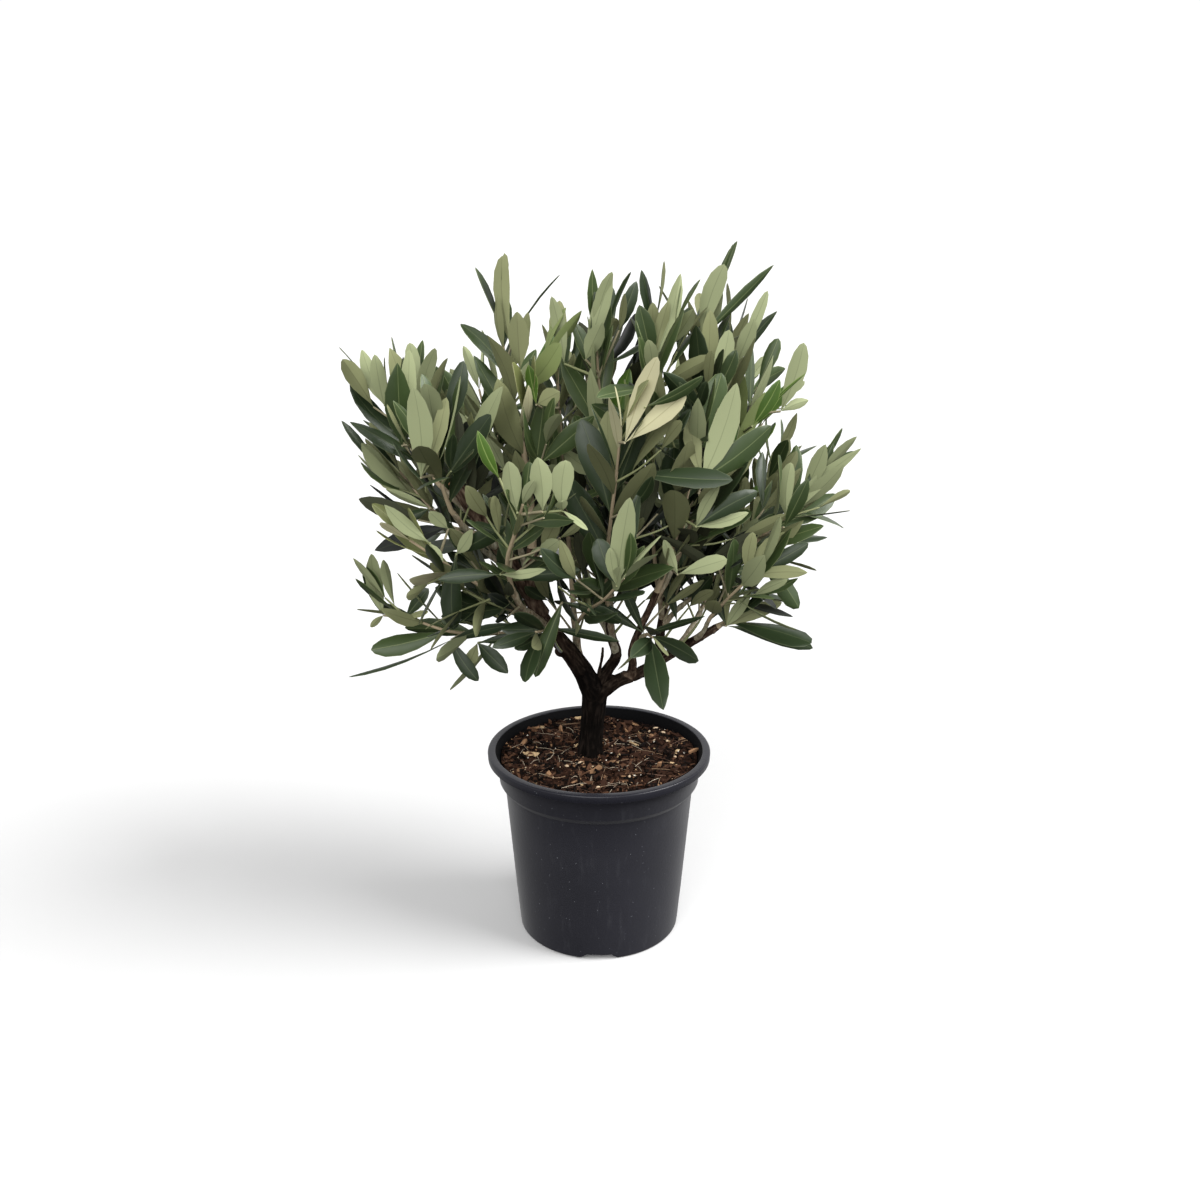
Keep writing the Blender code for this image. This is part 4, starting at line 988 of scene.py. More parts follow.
shoots = (  # small side shoots by the photo, from a limb or a mass's stem, in mm
    Shoot("bough_left_under", 0.3, (-78, -42, 272), 0.4, 46, 0, 0, "deep"),
    Shoot("bough_left_under", 0.6, (-92, -50, 262), 0.4, 44, 20, 0, "deep"),
    Shoot("bough_low_left", 0.25, (-66, -20, 252), 0.5, 46, 60, 0, "deep"),
    Shoot("bough_low_left", 0.5, (-78, -38, 250), 0.5, 42, 70, 0.1, "deep"),
    Shoot("bough_rear_left_low", 0.3, (-70, 6, 248), 0.4, 44, 40, -0.1, "deep"),
    Shoot("bough_left_under", 0.9, (-84, -60, 246), 0.1, 42, 40, -0.3, "olive"),
    Shoot("low_left", 0.12, (-72, -48, 226), 0, 38, 10, -0.5, "deep"),
    Shoot("low_left", 0.97, (-131, -46, 250), 1, 42, 60, 0.6, "sage"),
    Shoot("bough_mid_left", 0.5, (-32, -20, 240), 0.3, 44, 30, -0.1, "deep"),
    Shoot("bough_front_centre", 0.3, (-8, -44, 242), 0.4, 44, 50, 0.2, "deep"),
    Shoot("limb_centre", 0.75, (24, 26, 240), 0.4, 46, 40, 0, "deep"),
    Shoot("limb_centre", 0.6, (30, 6, 232), 0.4, 44, 20, -0.1, "deep"),
    Shoot("limb_front", 0.5, (42, -24, 238), 0.3, 46, 0, 0, "deep"),
    Shoot("limb_upright", 0.25, (58, -14, 234), 0.3, 42, 30, 0, "deep"),
    Shoot("limb_upright", 0.5, (52, -6, 246), 0.5, 46, 60, 0.1, "deep"),
    Shoot("limb_right", 0.65, (72, -14, 240), 0.5, 42, 20, 0.2, "deep"),
    Shoot("bough_right_mid", 0.5, (80, -22, 250), 0.8, 46, 15, 0.2, "sage"),
    Shoot("right_mid", 0.4, (96, -40, 250), 0.3, 42, 75, 0.2, "sage"),
    Shoot("far_right", 0.35, (112, -24, 268), 0.4, 40, 110, 0.2, "olive"),
    Shoot("left_low", 0.7, (-128, 10, 306), 0.4, 50, 35, 0.4, "sage"),
    Shoot("centre_high", 0.85, (12, -16, 408), 0.2, 40, 90, 0.25, "deep"),
    Shoot("right_centre", 0.75, (46, -30, 397), 0.2, 44, 40, 0.25, "olive"),
)


Sprig = namedtuple("Sprig", "start foot leaves")
Placed = namedtuple("Placed", "tip width roll bow tint")

sprigs = (  # leaves that stand out in the photo, in mm; roll 0 has the upper side in front, 180 the pale one
    Sprig("front_left", (-45, -106, 318), (
        Placed((-49, -108, 347), 12, 172, -10, "sage"),)),
    Sprig("front_left", (-31, -108, 319), (
        Placed((-33, -112, 350), 12, 184, -10, "sage"),)),
    Sprig("front_left", (-20, -106, 319), (
        Placed((-18, -110, 348), 12.5, 188, -8, "sage"),
        Placed((-20, -112, 326), 7, 180, 0, "sage"),
        Placed((-6, -110, 309), 4.5, 150, 0, "sage"),)),
    Sprig("front_mid", (14, -102, 356), (
        Placed((31, -108, 403), 13, 172, 12, "ivory"),
        Placed((47, -100, 383), 11, 190, 6, "ivory"),)),
    Sprig("front_mid", (25, -104, 376), (
        Placed((56, -102, 392), 8, 25, 18, "olive"),)),
    Sprig("front_right", (58, -88, 333), (
        Placed((76, -84, 386), 14.5, 180, 4, "sage"),
        Placed((97, -76, 361), 14, 12, 14, "olive"),
        Placed((52, -70, 366), 10, 178, 0, "olive"),)),
    Sprig("front_right", (56, -78, 303), (
        Placed((68, -88, 330), 8, 176, 0, "sage"),
        Placed((92, -66, 321), 10, 15, 16, "deep"),
        Placed((88, -60, 307), 6, 190, 0, "sage"),)),
    Sprig("front_right", (47, -60, 269), (
        Placed((76, -62, 279), 10, 190, -12, "sage"),
        Placed((38, -66, 292), 6, 180, 0, "sage"),)),
    Sprig("front_centre", (10, -100, 274), (
        Placed((17, -108, 327), 14.5, 182, 4, "sage"),
        Placed((23, -92, 328), 10, 6, -8, "deep"),
        Placed((35, -98, 303), 3.5, 150, 0, "sage"),
        Placed((-1, -94, 300), 11, -10, 8, "deep"),
        Placed((6, -106, 298), 6, 180, 0, "sage"),)),
    Sprig("right_low", (82, -14, 221), (
        Placed((139, -12, 205), 13, 10, 6, "deep"),
        Placed((96, -22, 247), 9, 178, 0, "sage"),
        Placed((118, -8, 235), 9.5, 186, 14, "olive"),
        Placed((63, -10, 257), 9, 14, 0, "deep"),
        Placed((80, -18, 261), 6, 160, 0, "olive"),)),
    Sprig("right_mid", (90, -50, 265), (
        Placed((113, -54, 293), 11, 180, 4, "olive"),
        Placed((92, -52, 293), 9, 172, 0, "olive"),
        Placed((127, -44, 284), 9, 8, -10, "deep"),
        Placed((127, -46, 266), 8, 190, -12, "olive"),)),
    Sprig("far_right", (115, -30, 296), (
        Placed((115, -36, 332), 11.5, 180, 0, "sage"),
        Placed((142, -26, 343), 11, 14, 8, "olive"),
        Placed((158, -32, 340), 9, 184, 6, "sage"),
        Placed((155, -26, 300), 2.5, 80, 4, "deep"),)),
    Sprig("top_right", (60, -30, 405), (
        Placed((72, -34, 447), 10.5, 180, 4, "sage"),
        Placed((78, -20, 458), 6, 50, -16, "olive"),
        Placed((103, -16, 446), 7, 40, -18, "olive"),)),
    Sprig("top_right", (81, -32, 391), (
        Placed((98, -30, 432), 7.5, 178, -8, "sage"),
        Placed((90, -38, 417), 10, 184, 0, "sage"),
        Placed((105, -24, 420), 6.5, 20, -10, "deep"),)),
    Sprig("top_right", (64, -52, 372), (
        Placed((78, -58, 401), 9, 10, 0, "olive"),
        Placed((75, -44, 411), 12, 178, 0, "sage"),)),
    Sprig("right_high", (112, -6, 358), (
        Placed((124, -8, 400), 13, 180, 6, "sage"),
        Placed((130, 0, 364), 6, 190, -10, "sage"),)),
    Sprig("right_high", (92, -30, 353), (
        Placed((107, -32, 381), 10, 0, 4, "fresh"),
        Placed((124, -24, 384), 3.5, 30, -8, "fresh"),)),
    Sprig("right_centre", (31, -40, 391), (
        Placed((23, -44, 425), 12, 4, 4, "olive"),
        Placed((47, -34, 442), 9, 176, -10, "sage"),
        Placed((40, -40, 427), 9, 180, 0, "olive"),)),
    Sprig("top_middle", (5, 28, 398), (
        Placed((20, 24, 440), 5, 50, -22, "deep"),
        Placed((11, 20, 412), 10, 180, 0, "olive"),)),
    Sprig("centre_high", (-8, -18, 391), (
        Placed((7, -20, 440), 10.5, 178, 6, "sage"),
        Placed((-2, -12, 435), 5, 60, 22, "deep"),
        Placed((2, -26, 414), 10.5, 184, 0, "sage"),)),
    Sprig("centre_high", (-21, -14, 388), (
        Placed((-28, -18, 428), 9, 180, 0, "sage"),)),
    Sprig("upper_left", (-53, -12, 398), (
        Placed((-57, -14, 451), 9.5, 186, 4, "olive"),
        Placed((-62, -8, 437), 2.5, 80, 20, "deep"),
        Placed((-23, -6, 440), 3, 80, -24, "deep"),)),
    Sprig("upper_left", (-47, -22, 385), (
        Placed((-48, -28, 420), 12.5, 180, 0, "olive"),)),
    Sprig("left_front", (-101, -80, 332), (
        Placed((-102, -86, 384), 14, 178, 4, "sage"),
        Placed((-86, -70, 376), 9, 184, 0, "olive"),)),
    Sprig("left_front", (-90, -62, 355), (
        Placed((-77, -58, 395), 11.5, 6, 6, "deep"),)),
    Sprig("left_high", (-117, -40, 343), (
        Placed((-116, -50, 393), 15, 6, 6, "olive"),
        Placed((-111, -36, 399), 9, 184, 0, "sage"),)),
    Sprig("left_high", (-130, -20, 364), (
        Placed((-142, -18, 397), 9, 182, 4, "sage"),
        Placed((-133, -26, 395), 9, 176, 0, "sage"),
        Placed((-157, -12, 398), 2.5, 80, 14, "deep"),)),
    Sprig("left_low", (-138, 4, 319), (
        Placed((-161, 2, 351), 7, 50, 20, "deep"),
        Placed((-146, -4, 334), 6, 60, 8, "olive"),)),
    Sprig("left_under", (-100, -62, 289), (
        Placed((-125, -66, 313), 9, 184, 8, "sage"),
        Placed((-93, -70, 277), 8, 180, 0, "sage"),)),
    Sprig("left_under", (-89, -60, 297), (
        Placed((-99, -66, 309), 8, 180, 0, "sage"),)),
    Sprig("left_under", (-85, -58, 281), (
        Placed((-74, -66, 298), 8, 178, 0, "sage"),
        Placed((-54, -74, 302), 11, 10, 0, "deep"),
        Placed((-88, -60, 234), 12, 8, 0, "deep"),)),
    Sprig("low_left", (-133, -44, 238), (
        Placed((-138, -46, 278), 9.5, 190, 40, "sage"),
        Placed((-145, -40, 267), 5, 60, -30, "deep"),
        Placed((-141, -46, 231), 4, 150, 0, "olive"),)),
    Sprig("low_left", (-120, -44, 236), (
        Placed((-104, -46, 256), 9, 8, 8, "deep"),
        Placed((-104, -52, 243), 5, 160, 0, "olive"),)),
    Sprig("low_left", (-92, -44, 222), (
        Placed((-157, -46, 198), 4, 62, -14, "deep"),
        Placed((-75, -50, 197), 10, 14, 22, "deep"),
        Placed((-53, -52, 235), 8, 14, 0, "deep"),)),
    Sprig("front_left", (-57, -84, 276), (
        Placed((-93, -88, 274), 9.5, 14, 8, "deep"),
        Placed((-30, -94, 282), 5.5, 170, 0, "sage"),
        Placed((-11, -78, 277), 9, 10, -14, "deep"),)),
    Sprig("lower_front", (-22, -58, 251), (
        Placed((-39, -62, 204), 8.5, 12, 6, "olive"),
        Placed((14, -60, 239), 9, 10, 10, "deep"),)),
    Sprig("lower_front", (-30, -50, 232), (
        Placed((-60, -56, 233), 10, 10, -8, "deep"),
        Placed((13, -44, 221), 7, 20, 12, "deep"),)),
    Sprig("mid_left_high", (-37, -38, 367), (
        Placed((-41, -42, 391), 8, 6, 0, "fresh"),
        Placed((-23, -40, 375), 11, 180, 0, "olive"),)),
    Sprig("front_left", (-56, -86, 333), (
        Placed((-67, -92, 361), 8, 6, 8, "fresh"),)),
    Sprig("limb_front", (29, -24, 219), (
        Placed((-12, -34, 246), 8.5, 14, 6, "deep"),
        Placed((14, -30, 254), 7, 10, 0, "deep"),
        Placed((67, -30, 233), 6, 20, 8, "deep"),)),
    Sprig("limb_upright", (42, -2, 233), (
        Placed((80, -8, 250), 8.5, 12, 6, "deep"),
        Placed((65, -4, 262), 8, 12, 0, "deep"),)),
    Sprig("left_low", (-105, -20, 300), (
        Placed((-131, -24, 313), 6.5, 150, 6, "sage"),
        Placed((-123, -26, 294), 7, 20, 0, "deep"),)),
    Sprig("bough_low_left", (-76, -38, 218), (
        Placed((-57, -42, 199), 10, 14, -14, "deep"),
        Placed((-81, -44, 206), 8, 160, 10, "olive"),
        Placed((-43, -40, 221), 8, 12, 10, "deep"),)),
)


def growStems():
    stems = {}
    for row in massRows:
        path = grown[row.bough][0]
        heading = (path[-1] - path[-2]).normalized()
        start = path[-1] + heading * leafRule["clear"] * mm
        neck = start + heading * leafRule["neck"] * mm
        stem = smoothPath([neck, Vector(row.tip) * mm], heading, row.lift, leafRule["stemStep"] * mm)
        stems[row.name] = [start] + stem
    return stems


def pathOf(name):  # of a mass's stem, or of a limb or bough
    return stems[name] if name in stems else grown[name][0]


def spire(path):  # goes on past its tip, as the model's space for a mass does
    return path + [path[-1] + (path[-1] - path[-2]).normalized() * leafRule["spire"] * mm]


class Crown:  # what the limbs and the leaves so far take up
    def __init__(self):
        points = []
        self.limbRadii = []
        for name, (path, sizes) in grown.items():
            thick = max(sizes) if sizes else limb["topRadius"] * mm
            thin = min(sizes) if sizes else limb["topRadius"] * mm
            spaced = axisPoints(path)
            for k, point in enumerate(spaced):
                points.append(point)
                self.limbRadii.append(thick + (thin - thick) * k / (len(spaced) - 1))
        self.limbs = indexPoints(points)
        self.cells = {}
        self.leaves = []
        self.twigs = []

    def offLimbs(self, point, margin):
        near = self.limbs.find_range(point, leafRule["limbReach"] * mm)
        return all(gap >= self.limbRadii[k] + margin for _, k, gap in near)

    def cell(self, point):
        return tuple(math.floor(value / (finer["cell"] * mm)) for value in point)

    def take(self, points):
        for point in points:
            self.cells.setdefault(self.cell(point), []).append(point)

    def isOpen(self, point, gap):
        x, y, z = self.cell(point)
        for dx in (-1, 0, 1):
            for dy in (-1, 0, 1):
                for dz in (-1, 0, 1):
                    for other in self.cells.get((x + dx, y + dy, z + dz), ()):
                        if (other - point).length < gap:
                            return False
        return True


class Room:  # the model's space for one mass: what its own stem is nearest
    def __init__(self, name):
        self.own = indexPoints(axisPoints(spire(stems[name])))
        others = [point for other in stems if other != name for point in axisPoints(spire(stems[other]))]
        self.others = indexPoints(others)
        self.taken = []

    def holds(self, points, limbMargin):
        for point in points:
            if self.own.find(point)[2] + leafRule["margin"] * mm > self.others.find(point)[2]:
                return False
            if not crown.offLimbs(point, limbMargin):
                return False
        return True

    def fits(self, points, body):
        if not self.holds(points, leafRule["limbMargin"] * mm):
            return False
        gap = leafRule["gap"] * mm
        if any((point - other).length <= gap for point in body for other in self.taken):
            return False
        self.taken += body
        return True


class Thicket:  # the looser test for shoots and finer twigs, whose leaves may mingle
    def fits(self, points, body):
        inset = finer["inset"] * mm
        for point in points:
            if point.z < finer["low"] * mm:
                return False
            if any(point[k] < lowCorner[k] + inset or point[k] > highCorner[k] - inset for k in range(3)):
                return False
            if not crown.offLimbs(point, finer["limbMargin"] * mm):
                return False
        return all(crown.isOpen(point, finer["gap"] * mm) for point in body)

    def holds(self, points, limbMargin):
        return all(crown.offLimbs(point, limbMargin) for point in points)


def leafFrames(root, axis, out, length, spread, curl, roll, rise, stations):  # bent by curl
    heading = axis * math.cos(spread) + out * math.sin(spread)
    heading = (heading + up * rise).normalized()
    across = axis.cross(out).normalized()
    across = (across - heading * across.dot(heading)).normalized()
    across = Matrix.Rotation(roll, 3, heading) @ across
    frames = []
    place = root.copy()
    before = 0
    for share in stations:
        bend = Matrix.Rotation(curl * (share + before) / 2, 3, across)
        place = place + (bend @ heading) * length * (share - before)
        ahead = Matrix.Rotation(curl * share, 3, across) @ heading
        turn = Matrix((across, ahead.cross(across), ahead)).transposed().to_4x4()
        frames.append(Matrix.Translation(place) @ turn)
        before = share
    return frames


def drawLeaf(draw, share, row, size=1):
    spread = leafRule["spreadLow"] + (leafRule["spreadTop"] - leafRule["spreadLow"]) * share ** 0.7
    full = 0.86 + 0.3 * math.sin(math.pi * min(1, share + 0.12)) - 0.16 * share
    length = row.leaf * mm * full * draw.uniform(*leafRule["lengthVary"]) * size
    width = length * draw.uniform(*leafRule["slimness"])
    spread = math.radians(spread + draw.uniform(-leafRule["spreadVary"], leafRule["spreadVary"]))
    curl = math.radians(draw.uniform(*leafRule["curl"]))
    roll = math.radians(draw.uniform(-leafRule["roll"], leafRule["roll"]))
    rise = row.rise - leafRule["droopLow"] * (1 - share)
    return length, width, spread, curl, roll, rise


Leaf = namedtuple("Leaf", "root axis out length width spread curl roll rise tint seed")


def growLeaf(room, root, axis, out, drawn, tint):  # smaller and closer to its twig until it fits
    length, width, spread, curl, roll, rise = drawn
    for shrink, fold in leafRule["tries"]:
        shape = (length * shrink, spread * fold, curl, roll, rise)
        tests = leafFrames(root, axis, out, *shape, leafRule["tests"])
        points = []
        for k, place in enumerate(tests):
            points.append(place.translation)
            if 0 < k < len(tests) - 1:
                side = place.to_3x3().col[0] * width * shrink * leafRule["testWidth"]
                points += [place.translation + side, place.translation - side]
        if room.fits(points, points[4:]):  # its foot may be near other leaves' feet
            crown.take(points[1:])
            seed = len(crown.leaves)
            crown.leaves.append(Leaf(root, axis, out, length * shrink, width * shrink, spread * fold,
                                     curl, roll, rise, tint, seed))
            return


def pairDirections(place, turn):
    for k in range(2):
        angle = turn + math.pi * k
        yield place.to_3x3() @ Vector((math.cos(angle), math.sin(angle), 0))


def nearestFrame(frames, point):
    return min(frames, key=lambda place: (place.translation - point).length)


def growPairs(draw, room, path, row, turn, first, tint, size=1, tipTint=None):
    total = lengthsAlong(path)[-1]
    count = max(1, round((total - first) / (leafRule["internode"] * mm)))
    frames = framesAlong(path)
    for k in range(count + 1):
        share = (first + (total - first) * k / count) / total
        point, axis = pointAt(path, min(share, 0.995))
        for out in pairDirections(nearestFrame(frames, point), turn + k * math.pi / 2):
            shade = tipTint if tipTint and k > count - 2 else tint
            growLeaf(room, point, axis, out, drawLeaf(draw, share, row, size), shade)


def growTwig(draw, room, path, share, turn, row, tint, size=1):
    point, axis = pointAt(path, share)
    out = next(pairDirections(nearestFrame(framesAlong(path), point), turn))
    vary = leafRule["twigVary"]
    spread = math.radians(leafRule["twigSpread"] + draw.uniform(-vary, vary))
    length = draw.uniform(*leafRule["twigLength"]) * mm * (1.15 - 0.5 * share)
    phase = draw.uniform(0, math.pi)
    leave = axis * math.cos(spread) + out * math.sin(spread)
    tip = point + (leave + up * row.rise * 0.6).normalized() * length
    twig = smoothPath([point, tip], leave.normalized(), leafRule["twigLift"], leafRule["twigStep"] * mm)
    radius = leafRule["twigRadius"] * mm
    if not room.holds(axisPoints(twig)[2:], radius + leafRule["limbMargin"] * mm / 2):
        return None
    thin = leafRule["stemTip"] * mm
    crown.twigs.append((twig, radius * (0.7 + 0.3 * size), thin, leafRule["twigSides"]))
    growPairs(draw, room, twig, row, phase, leafRule["twigFoot"] * mm, tint, size)
    return twig


crownLight = {  # where the crown gets its light, in metres, and how tints are dealt by it
    "radius": 0.11, "low": 0.24, "rise": 0.16,
    "deal": (("deep", 0.62, 0.44), ("olive", 0.84, 0.34), ("sage", 0.92, 0), ("fresh", 0.97, 0)),
}

# Leaf colours: upper side, its rib, underside, its rib
tints = {
    "deep": ((0.019, 0.032, 0.012), (0.055, 0.072, 0.032), (0.16, 0.17, 0.08), (0.12, 0.128, 0.058)),
    "olive": ((0.032, 0.052, 0.016), (0.09, 0.115, 0.045), (0.205, 0.218, 0.104), (0.16, 0.168, 0.08)),
    "sage": ((0.045, 0.07, 0.022), (0.13, 0.16, 0.065), (0.265, 0.295, 0.156), (0.205, 0.23, 0.118)),
    "fresh": ((0.05, 0.1, 0.013), (0.15, 0.21, 0.055), (0.22, 0.27, 0.1), (0.17, 0.21, 0.075)),
    "ivory": ((0.15, 0.165, 0.06), (0.25, 0.26, 0.11), (0.45, 0.43, 0.26), (0.35, 0.33, 0.19)),
    "shade": ((0.0035, 0.006, 0.003), (0.018, 0.025, 0.012), (0.04, 0.045, 0.022), (0.03, 0.034, 0.017)),
}
known = {  # the tint of a mass's main stem, and of the spray at its tip
    "front_mid": ("deep", "ivory"), "front_left": ("olive", "sage"), "front_right": ("deep", "sage"),
    "left_front": ("deep", "sage"), "upper_left": ("olive", "olive"), "low_left": ("sage", "olive"),
    "lower_front": ("deep", "deep"), "lower_right": ("deep", "deep"), "right_low": ("deep", "deep"),
    "front_centre": ("deep", "sage"), "right_mid": ("olive", "sage"), "far_right": ("sage", "sage"),
    "right_high": ("fresh", "sage"), "top_right": ("olive", "sage"), "left_high": ("deep", "olive"),
}


def sprayTint(draw, height, path):  # dark inside and low down, paler where the light reaches
    pick = draw.random()
    outness = min(1, path[-1].xy.length / crownLight["radius"])
    light = min(1, max(0, (height - crownLight["low"]) / crownLight["rise"])) * 0.6 + outness * 0.4
    for tint, most, less in crownLight["deal"]:
        if pick < most - less * light:
            return tint
    return "ivory"


def growMasses():
    for row in massRows:
        draw = random.Random(row.seed)
        colours = random.Random(row.seed + 500)
        room = Room(row.name)
        path = stems[row.name]
        base = grown[row.bough][1][-1]
        crown.twigs.append((path, base, leafRule["stemTip"] * mm, leafRule["stemSides"]))
        turn = math.radians(row.turn)
        dealt = sprayTint(colours, path[-1].z, path)
        tint, tipTint = known.get(row.name, (dealt, dealt))
        growPairs(draw, room, path, row, turn, leafRule["bareFoot"] * mm, tint, 1, tipTint)
        for k in range(row.twigs):
            share = leafRule["firstTwig"] + leafRule["twigSpan"] * k / row.twigs
            swing = draw.uniform(-leafRule["twigSwing"], leafRule["twigSwing"])
            side = turn + k * leafRule["twigTurn"] + swing
            growTwig(draw, room, path, share, side, row, sprayTint(colours, path[-1].z, path))
    return len(crown.leaves)


def growSprigs():
    front = Vector((0, -1, 0.3))  # towards where the photo was taken
    for row in sprigs:
        foot = Vector(row.foot) * mm
        spaced = axisPoints(pathOf(row.start))
        near = min(range(len(spaced)), key=lambda k: (spaced[k] - foot).length)
        start = spaced[max(0, near - finer["sprigStart"])]
        if (spaced[near] - foot).length > finer["sprigReach"] * mm:
            path = smoothPath([start, foot], (foot - start).normalized(), 0.2, leafRule["twigStep"] * mm)
            thick, thin = finer["sprigTwig"]
            crown.twigs.append((path, thick * mm, thin * mm, leafRule["twigSides"]))
        for placed in row.leaves:
            span = Vector(placed.tip) * mm - foot
            heading = span.normalized()
            face = (front - heading * front.dot(heading)).normalized()
            face = Matrix.Rotation(math.radians(placed.roll), 3, heading) @ face
            curl = math.radians(placed.bow)
            length = span.length * (1 + curl * curl / 24)  # of the arc whose chord is the span
            leaf = Leaf(foot, face, heading, length, placed.width * mm,
                        math.pi / 2 - curl / 2, curl, 0, 0, placed.tint, len(crown.leaves))
            tests = leafFrames(foot, face, heading, length, leaf.spread, curl, 0, 0, leafRule["tests"])
            crown.take([place.translation for place in tests[1:]])
            crown.leaves.append(leaf)


def growShoots():
    room = Thicket()
    for k, row in enumerate(shoots):
        draw = random.Random(finer["shootSeed"] + k)
        start, heading = pointAt(pathOf(row.start), row.along)
        tip = Vector(row.tip) * mm
        leave = (heading + 1.5 * (tip - start).normalized()).normalized()
        path = smoothPath([start, tip], leave, row.lift, leafRule["twigStep"] * mm)
        thin = leafRule["stemTip"] * mm
        crown.twigs.append((path, finer["shootFoot"] * mm, thin, leafRule["twigSides"]))
        growPairs(draw, room, path, row, math.radians(row.turn), leafRule["bareFoot"] * mm, row.tint)


def growInner():  # shaded twigs on the boughs themselves
    room = Thicket()
    draw = random.Random(finer["innerSeed"])
    for name in boughNames:
        if name in finer["bare"]:
            continue
        row = next(row for row in massRows if row.bough == name)
        for k in range(finer["inner"]):
            share = finer["firstInner"] + finer["innerSpan"] * k / finer["inner"]
            side = draw.uniform(0, math.tau)
            growTwig(draw, room, grown[name][0], share, side, row, "shade", finer["innerLeaf"])


def growFiner():
    room = Thicket()
    for row in massRows:
        draw = random.Random(row.seed + 900)
        path = stems[row.name]
        count = finer["sparse"].get(row.name, finer["twigs"])
        for k in range(count):
            share = finer["firstTwig"] + finer["twigSpan"] * (k + 0.5) / count
            point = pointAt(path, share)[0]
            tint = sprayTint(draw, point.z, path)
            if tint == "deep" and point.xy.length < finer["heart"] * mm:
                tint = "shade"
            twig = growTwig(draw, room, path, share, draw.uniform(0, math.tau), row, tint, finer["leaf"])
            if twig and draw.random() < finer["forked"]:
                size = finer["leaf"] * finer["forkLeaf"]
                growTwig(draw, room, twig, 0.5, draw.uniform(0, math.tau), row, tint, size)


leafRows = (0, 0.09, 0.25, 0.44, 0.65, 0.84, 0.96, 1)  # stations along a leaf
blade = {
    "petiole": 0.55, "rib": 0.34, "margin": 0.28, "thick": 0.16, "ribLift": 0.12,  # mm
    "foot": (0.8, 1.25), "tip": (0.54, 0.94), "slim": (0.9, 1.15),  # outline
    "fold": (4, 26), "rolled": (0.0, 0.4), "twist": (-28, 28), "sway": (-0.05, 0.05),
    "shine": 0.35, "sides": (("Upper", 0.4), ("Rib", 0.5), ("Under", 0.72), ("UnderRib", 0.75)),  # roughness
}


def leafTemplate():  # x across from -1 to 1, y along, z 1 above and -1 below, closed at its rim
    bm = bmesh.new()
    for side, strips in ((1, 5), (-1, 3)):
        made = bmesh.ops.create_grid(bm, x_segments=strips, y_segments=len(leafRows) - 1, size=1)["verts"]
        cuts = (-1, -0.9, -0.07, 0.07, 0.9, 1) if strips == 5 else (-1, -0.07, 0.07, 1)
        faces = {face for vert in made for face in vert.link_faces}
        for face in faces:
            across = abs(face.calc_center_median().x)
            ribbed = across < 0.2 or (strips == 5 and across > 0.7)
            face.material_index = (0 if side > 0 else 2) + (1 if ribbed else 0)
        if side < 0:
            bmesh.ops.reverse_faces(bm, faces=list(faces))
        for vert in made:
            row = round((vert.co.y + 1) / 2 * (len(leafRows) - 1))
            column = cuts[round((vert.co.x + 1) / 2 * strips)]
            rim = row in (0, len(leafRows) - 1) or abs(column) == 1
            vert.co = Vector((0 if row in (0, len(leafRows) - 1) else column, row, 0 if rim else side))
    bmesh.ops.remove_doubles(bm, verts=bm.verts, dist=1e-4)
    mesh = bpy.data.meshes.new("leaf")
    bm.to_mesh(mesh)
    bm.free()
    return mesh


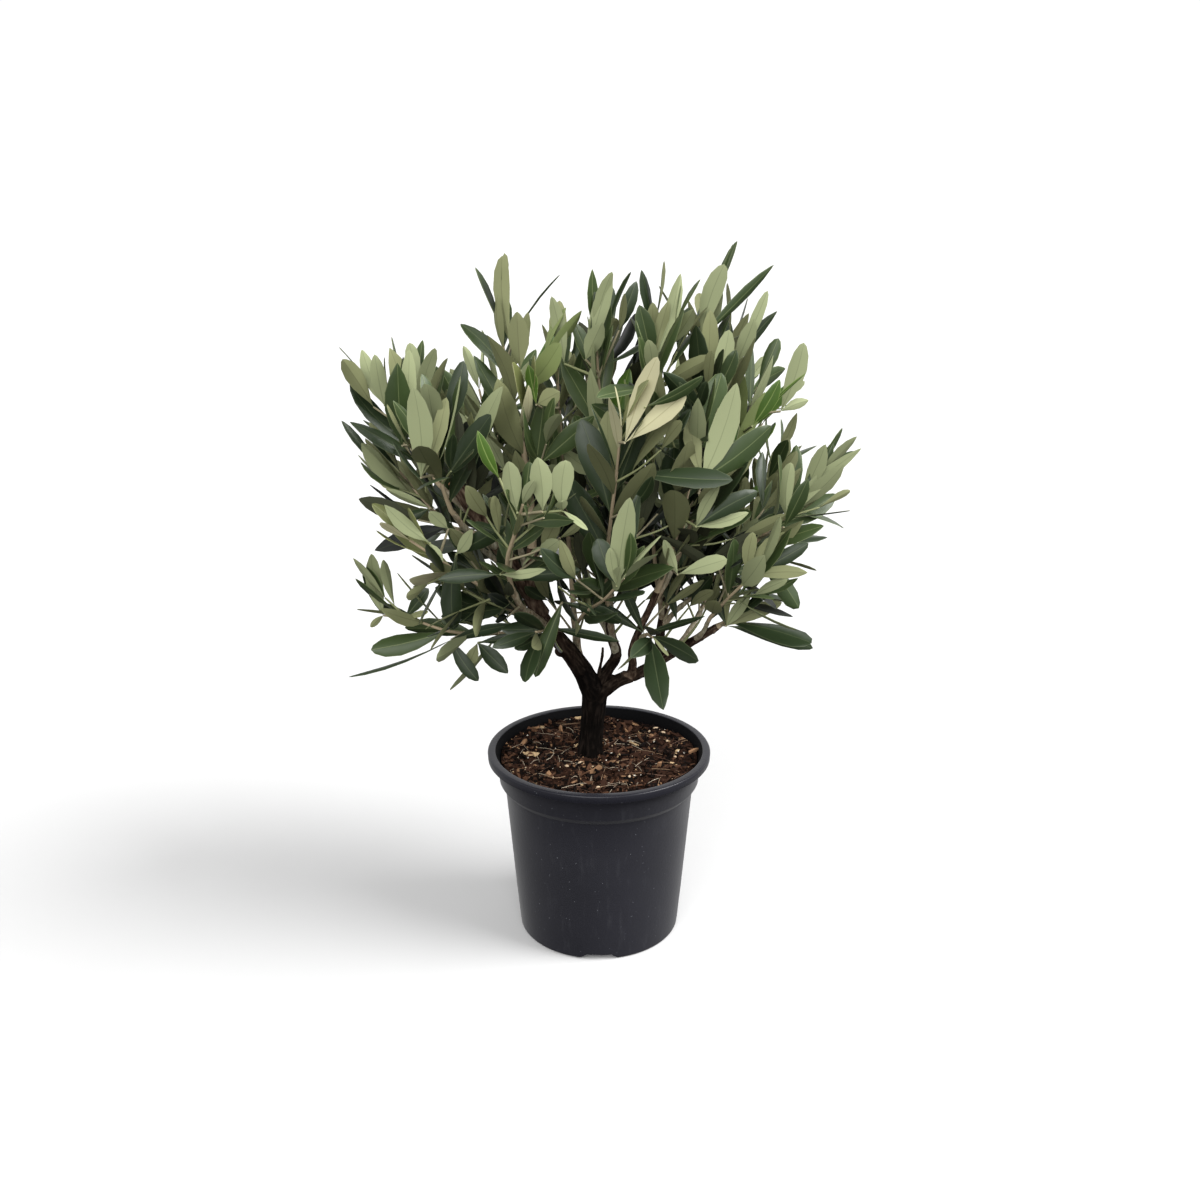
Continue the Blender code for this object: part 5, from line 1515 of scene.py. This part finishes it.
def placeLeaf(leaf):  # gives a function from a template point to its place
    draw = random.Random(leaf.seed)
    foot = draw.uniform(*blade["foot"])  # how slowly it widens, and how blunt its tip is
    tip = draw.uniform(*blade["tip"])
    slim = draw.uniform(*blade["slim"])
    peak = foot / (foot + tip)
    most = peak ** foot * (1 - peak) ** tip
    fold = math.radians(draw.uniform(*blade["fold"]))
    rolled = draw.uniform(*blade["rolled"])
    twist = math.radians(draw.uniform(*blade["twist"]))
    sway = draw.uniform(*blade["sway"]) * leaf.length
    frames = leafFrames(leaf.root, leaf.axis, leaf.out, leaf.length, leaf.spread, leaf.curl, leaf.roll,
                        leaf.rise, leafRows)
    halves = []
    for share in leafRows:
        along = max(0, (share - 0.04) / 0.96)
        half = slim * leaf.width / 2 * along ** foot * (1 - along) ** tip / most
        halves.append(max(half, blade["petiole"] * mm * (1 if share < 0.5 else 0)))

    def place(point):
        row = round(point.y)
        share = leafRows[row]
        half = halves[row]
        rib = min(half * 0.5, blade["rib"] * mm * (1.15 - 0.7 * share))
        side = abs(point.x)
        across = rib if 0 < side < 0.1 else half * side
        if 0.8 < side < 1:
            across = max(rib, half - blade["margin"] * mm)
        lift = across * math.tan(fold) - rolled * across * (across / max(half, 1e-5)) ** 2
        lift += point.z * blade["thick"] * mm * (1.6 if side < 0.1 else 1)
        if 0 < side < 0.1 and point.z < 0:
            lift -= blade["ribLift"] * mm
        turn = Matrix.Rotation(twist * share, 4, "Z")
        bow = sway * math.sin(math.pi * share)
        off = turn @ Vector((math.copysign(across, point.x) if side else 0, lift, 0))
        return frames[row] @ (off + Vector((bow, 0, 0)))

    return place


def makeLeaves():
    template = leafTemplate()
    corners = [vert.co.copy() for vert in template.vertices]
    for tint, colours in tints.items():
        looks = []
        for (side, rough), colour in zip(blade["sides"], colours):
            looks.append(Look(tint + side, Base_Color=(*colour, 1), Roughness=rough,
                              Specular_IOR_Level=blade["shine"]))
        leaves = [leaf for leaf in crown.leaves if leaf.tint == tint]
        joined = bmesh.new()
        for _ in leaves:
            joined.from_mesh(template)
        verts = iter(joined.verts)
        for leaf in leaves:
            place = placeLeaf(leaf)
            for corner in corners:
                next(verts).co = place(corner)
        piece = makePiece("leaves_" + tint, joined, looks, "leaf", 70)
        if tint == "deep":
            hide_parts(*foliageNodes)
        print("leaves", tint + ":", len(leaves))


twigTints = (
    ("twigTan", (0.38, 0.3, 0.19), 0.75), ("twigGrey", (0.3, 0.265, 0.165), 0.75),
    ("twigGreen", (0.24, 0.26, 0.12), 0.7),
)


def makeTwigs():
    joined = bmesh.new()
    for k, (path, thick, thin, sides) in enumerate(crown.twigs):
        stem = sides == leafRule["stemSides"]
        fine = finerPath(path, 5 * mm)
        thin *= 1.4 if stem else 1
        radii = [thick + (thin - thick) * (step / (len(fine) - 1)) ** 0.7 for step in range(len(fine))]
        slot = 0 if stem else 1 + k % 2
        addBody(joined, loft(fine, radii, sides), slot)
    makePiece("twigs", joined, plainLooks(twigTints), "leaf", 70)


stems = growStems()
crown = Crown()
first = growMasses()
growSprigs()
growShoots()
growInner()
growFiner()
print("growth:", first, "leaves by the model's rule,", len(crown.leaves), "with the finer twigs")
makeLeaves()
makeTwigs()
print("twigs:", len(crown.twigs))
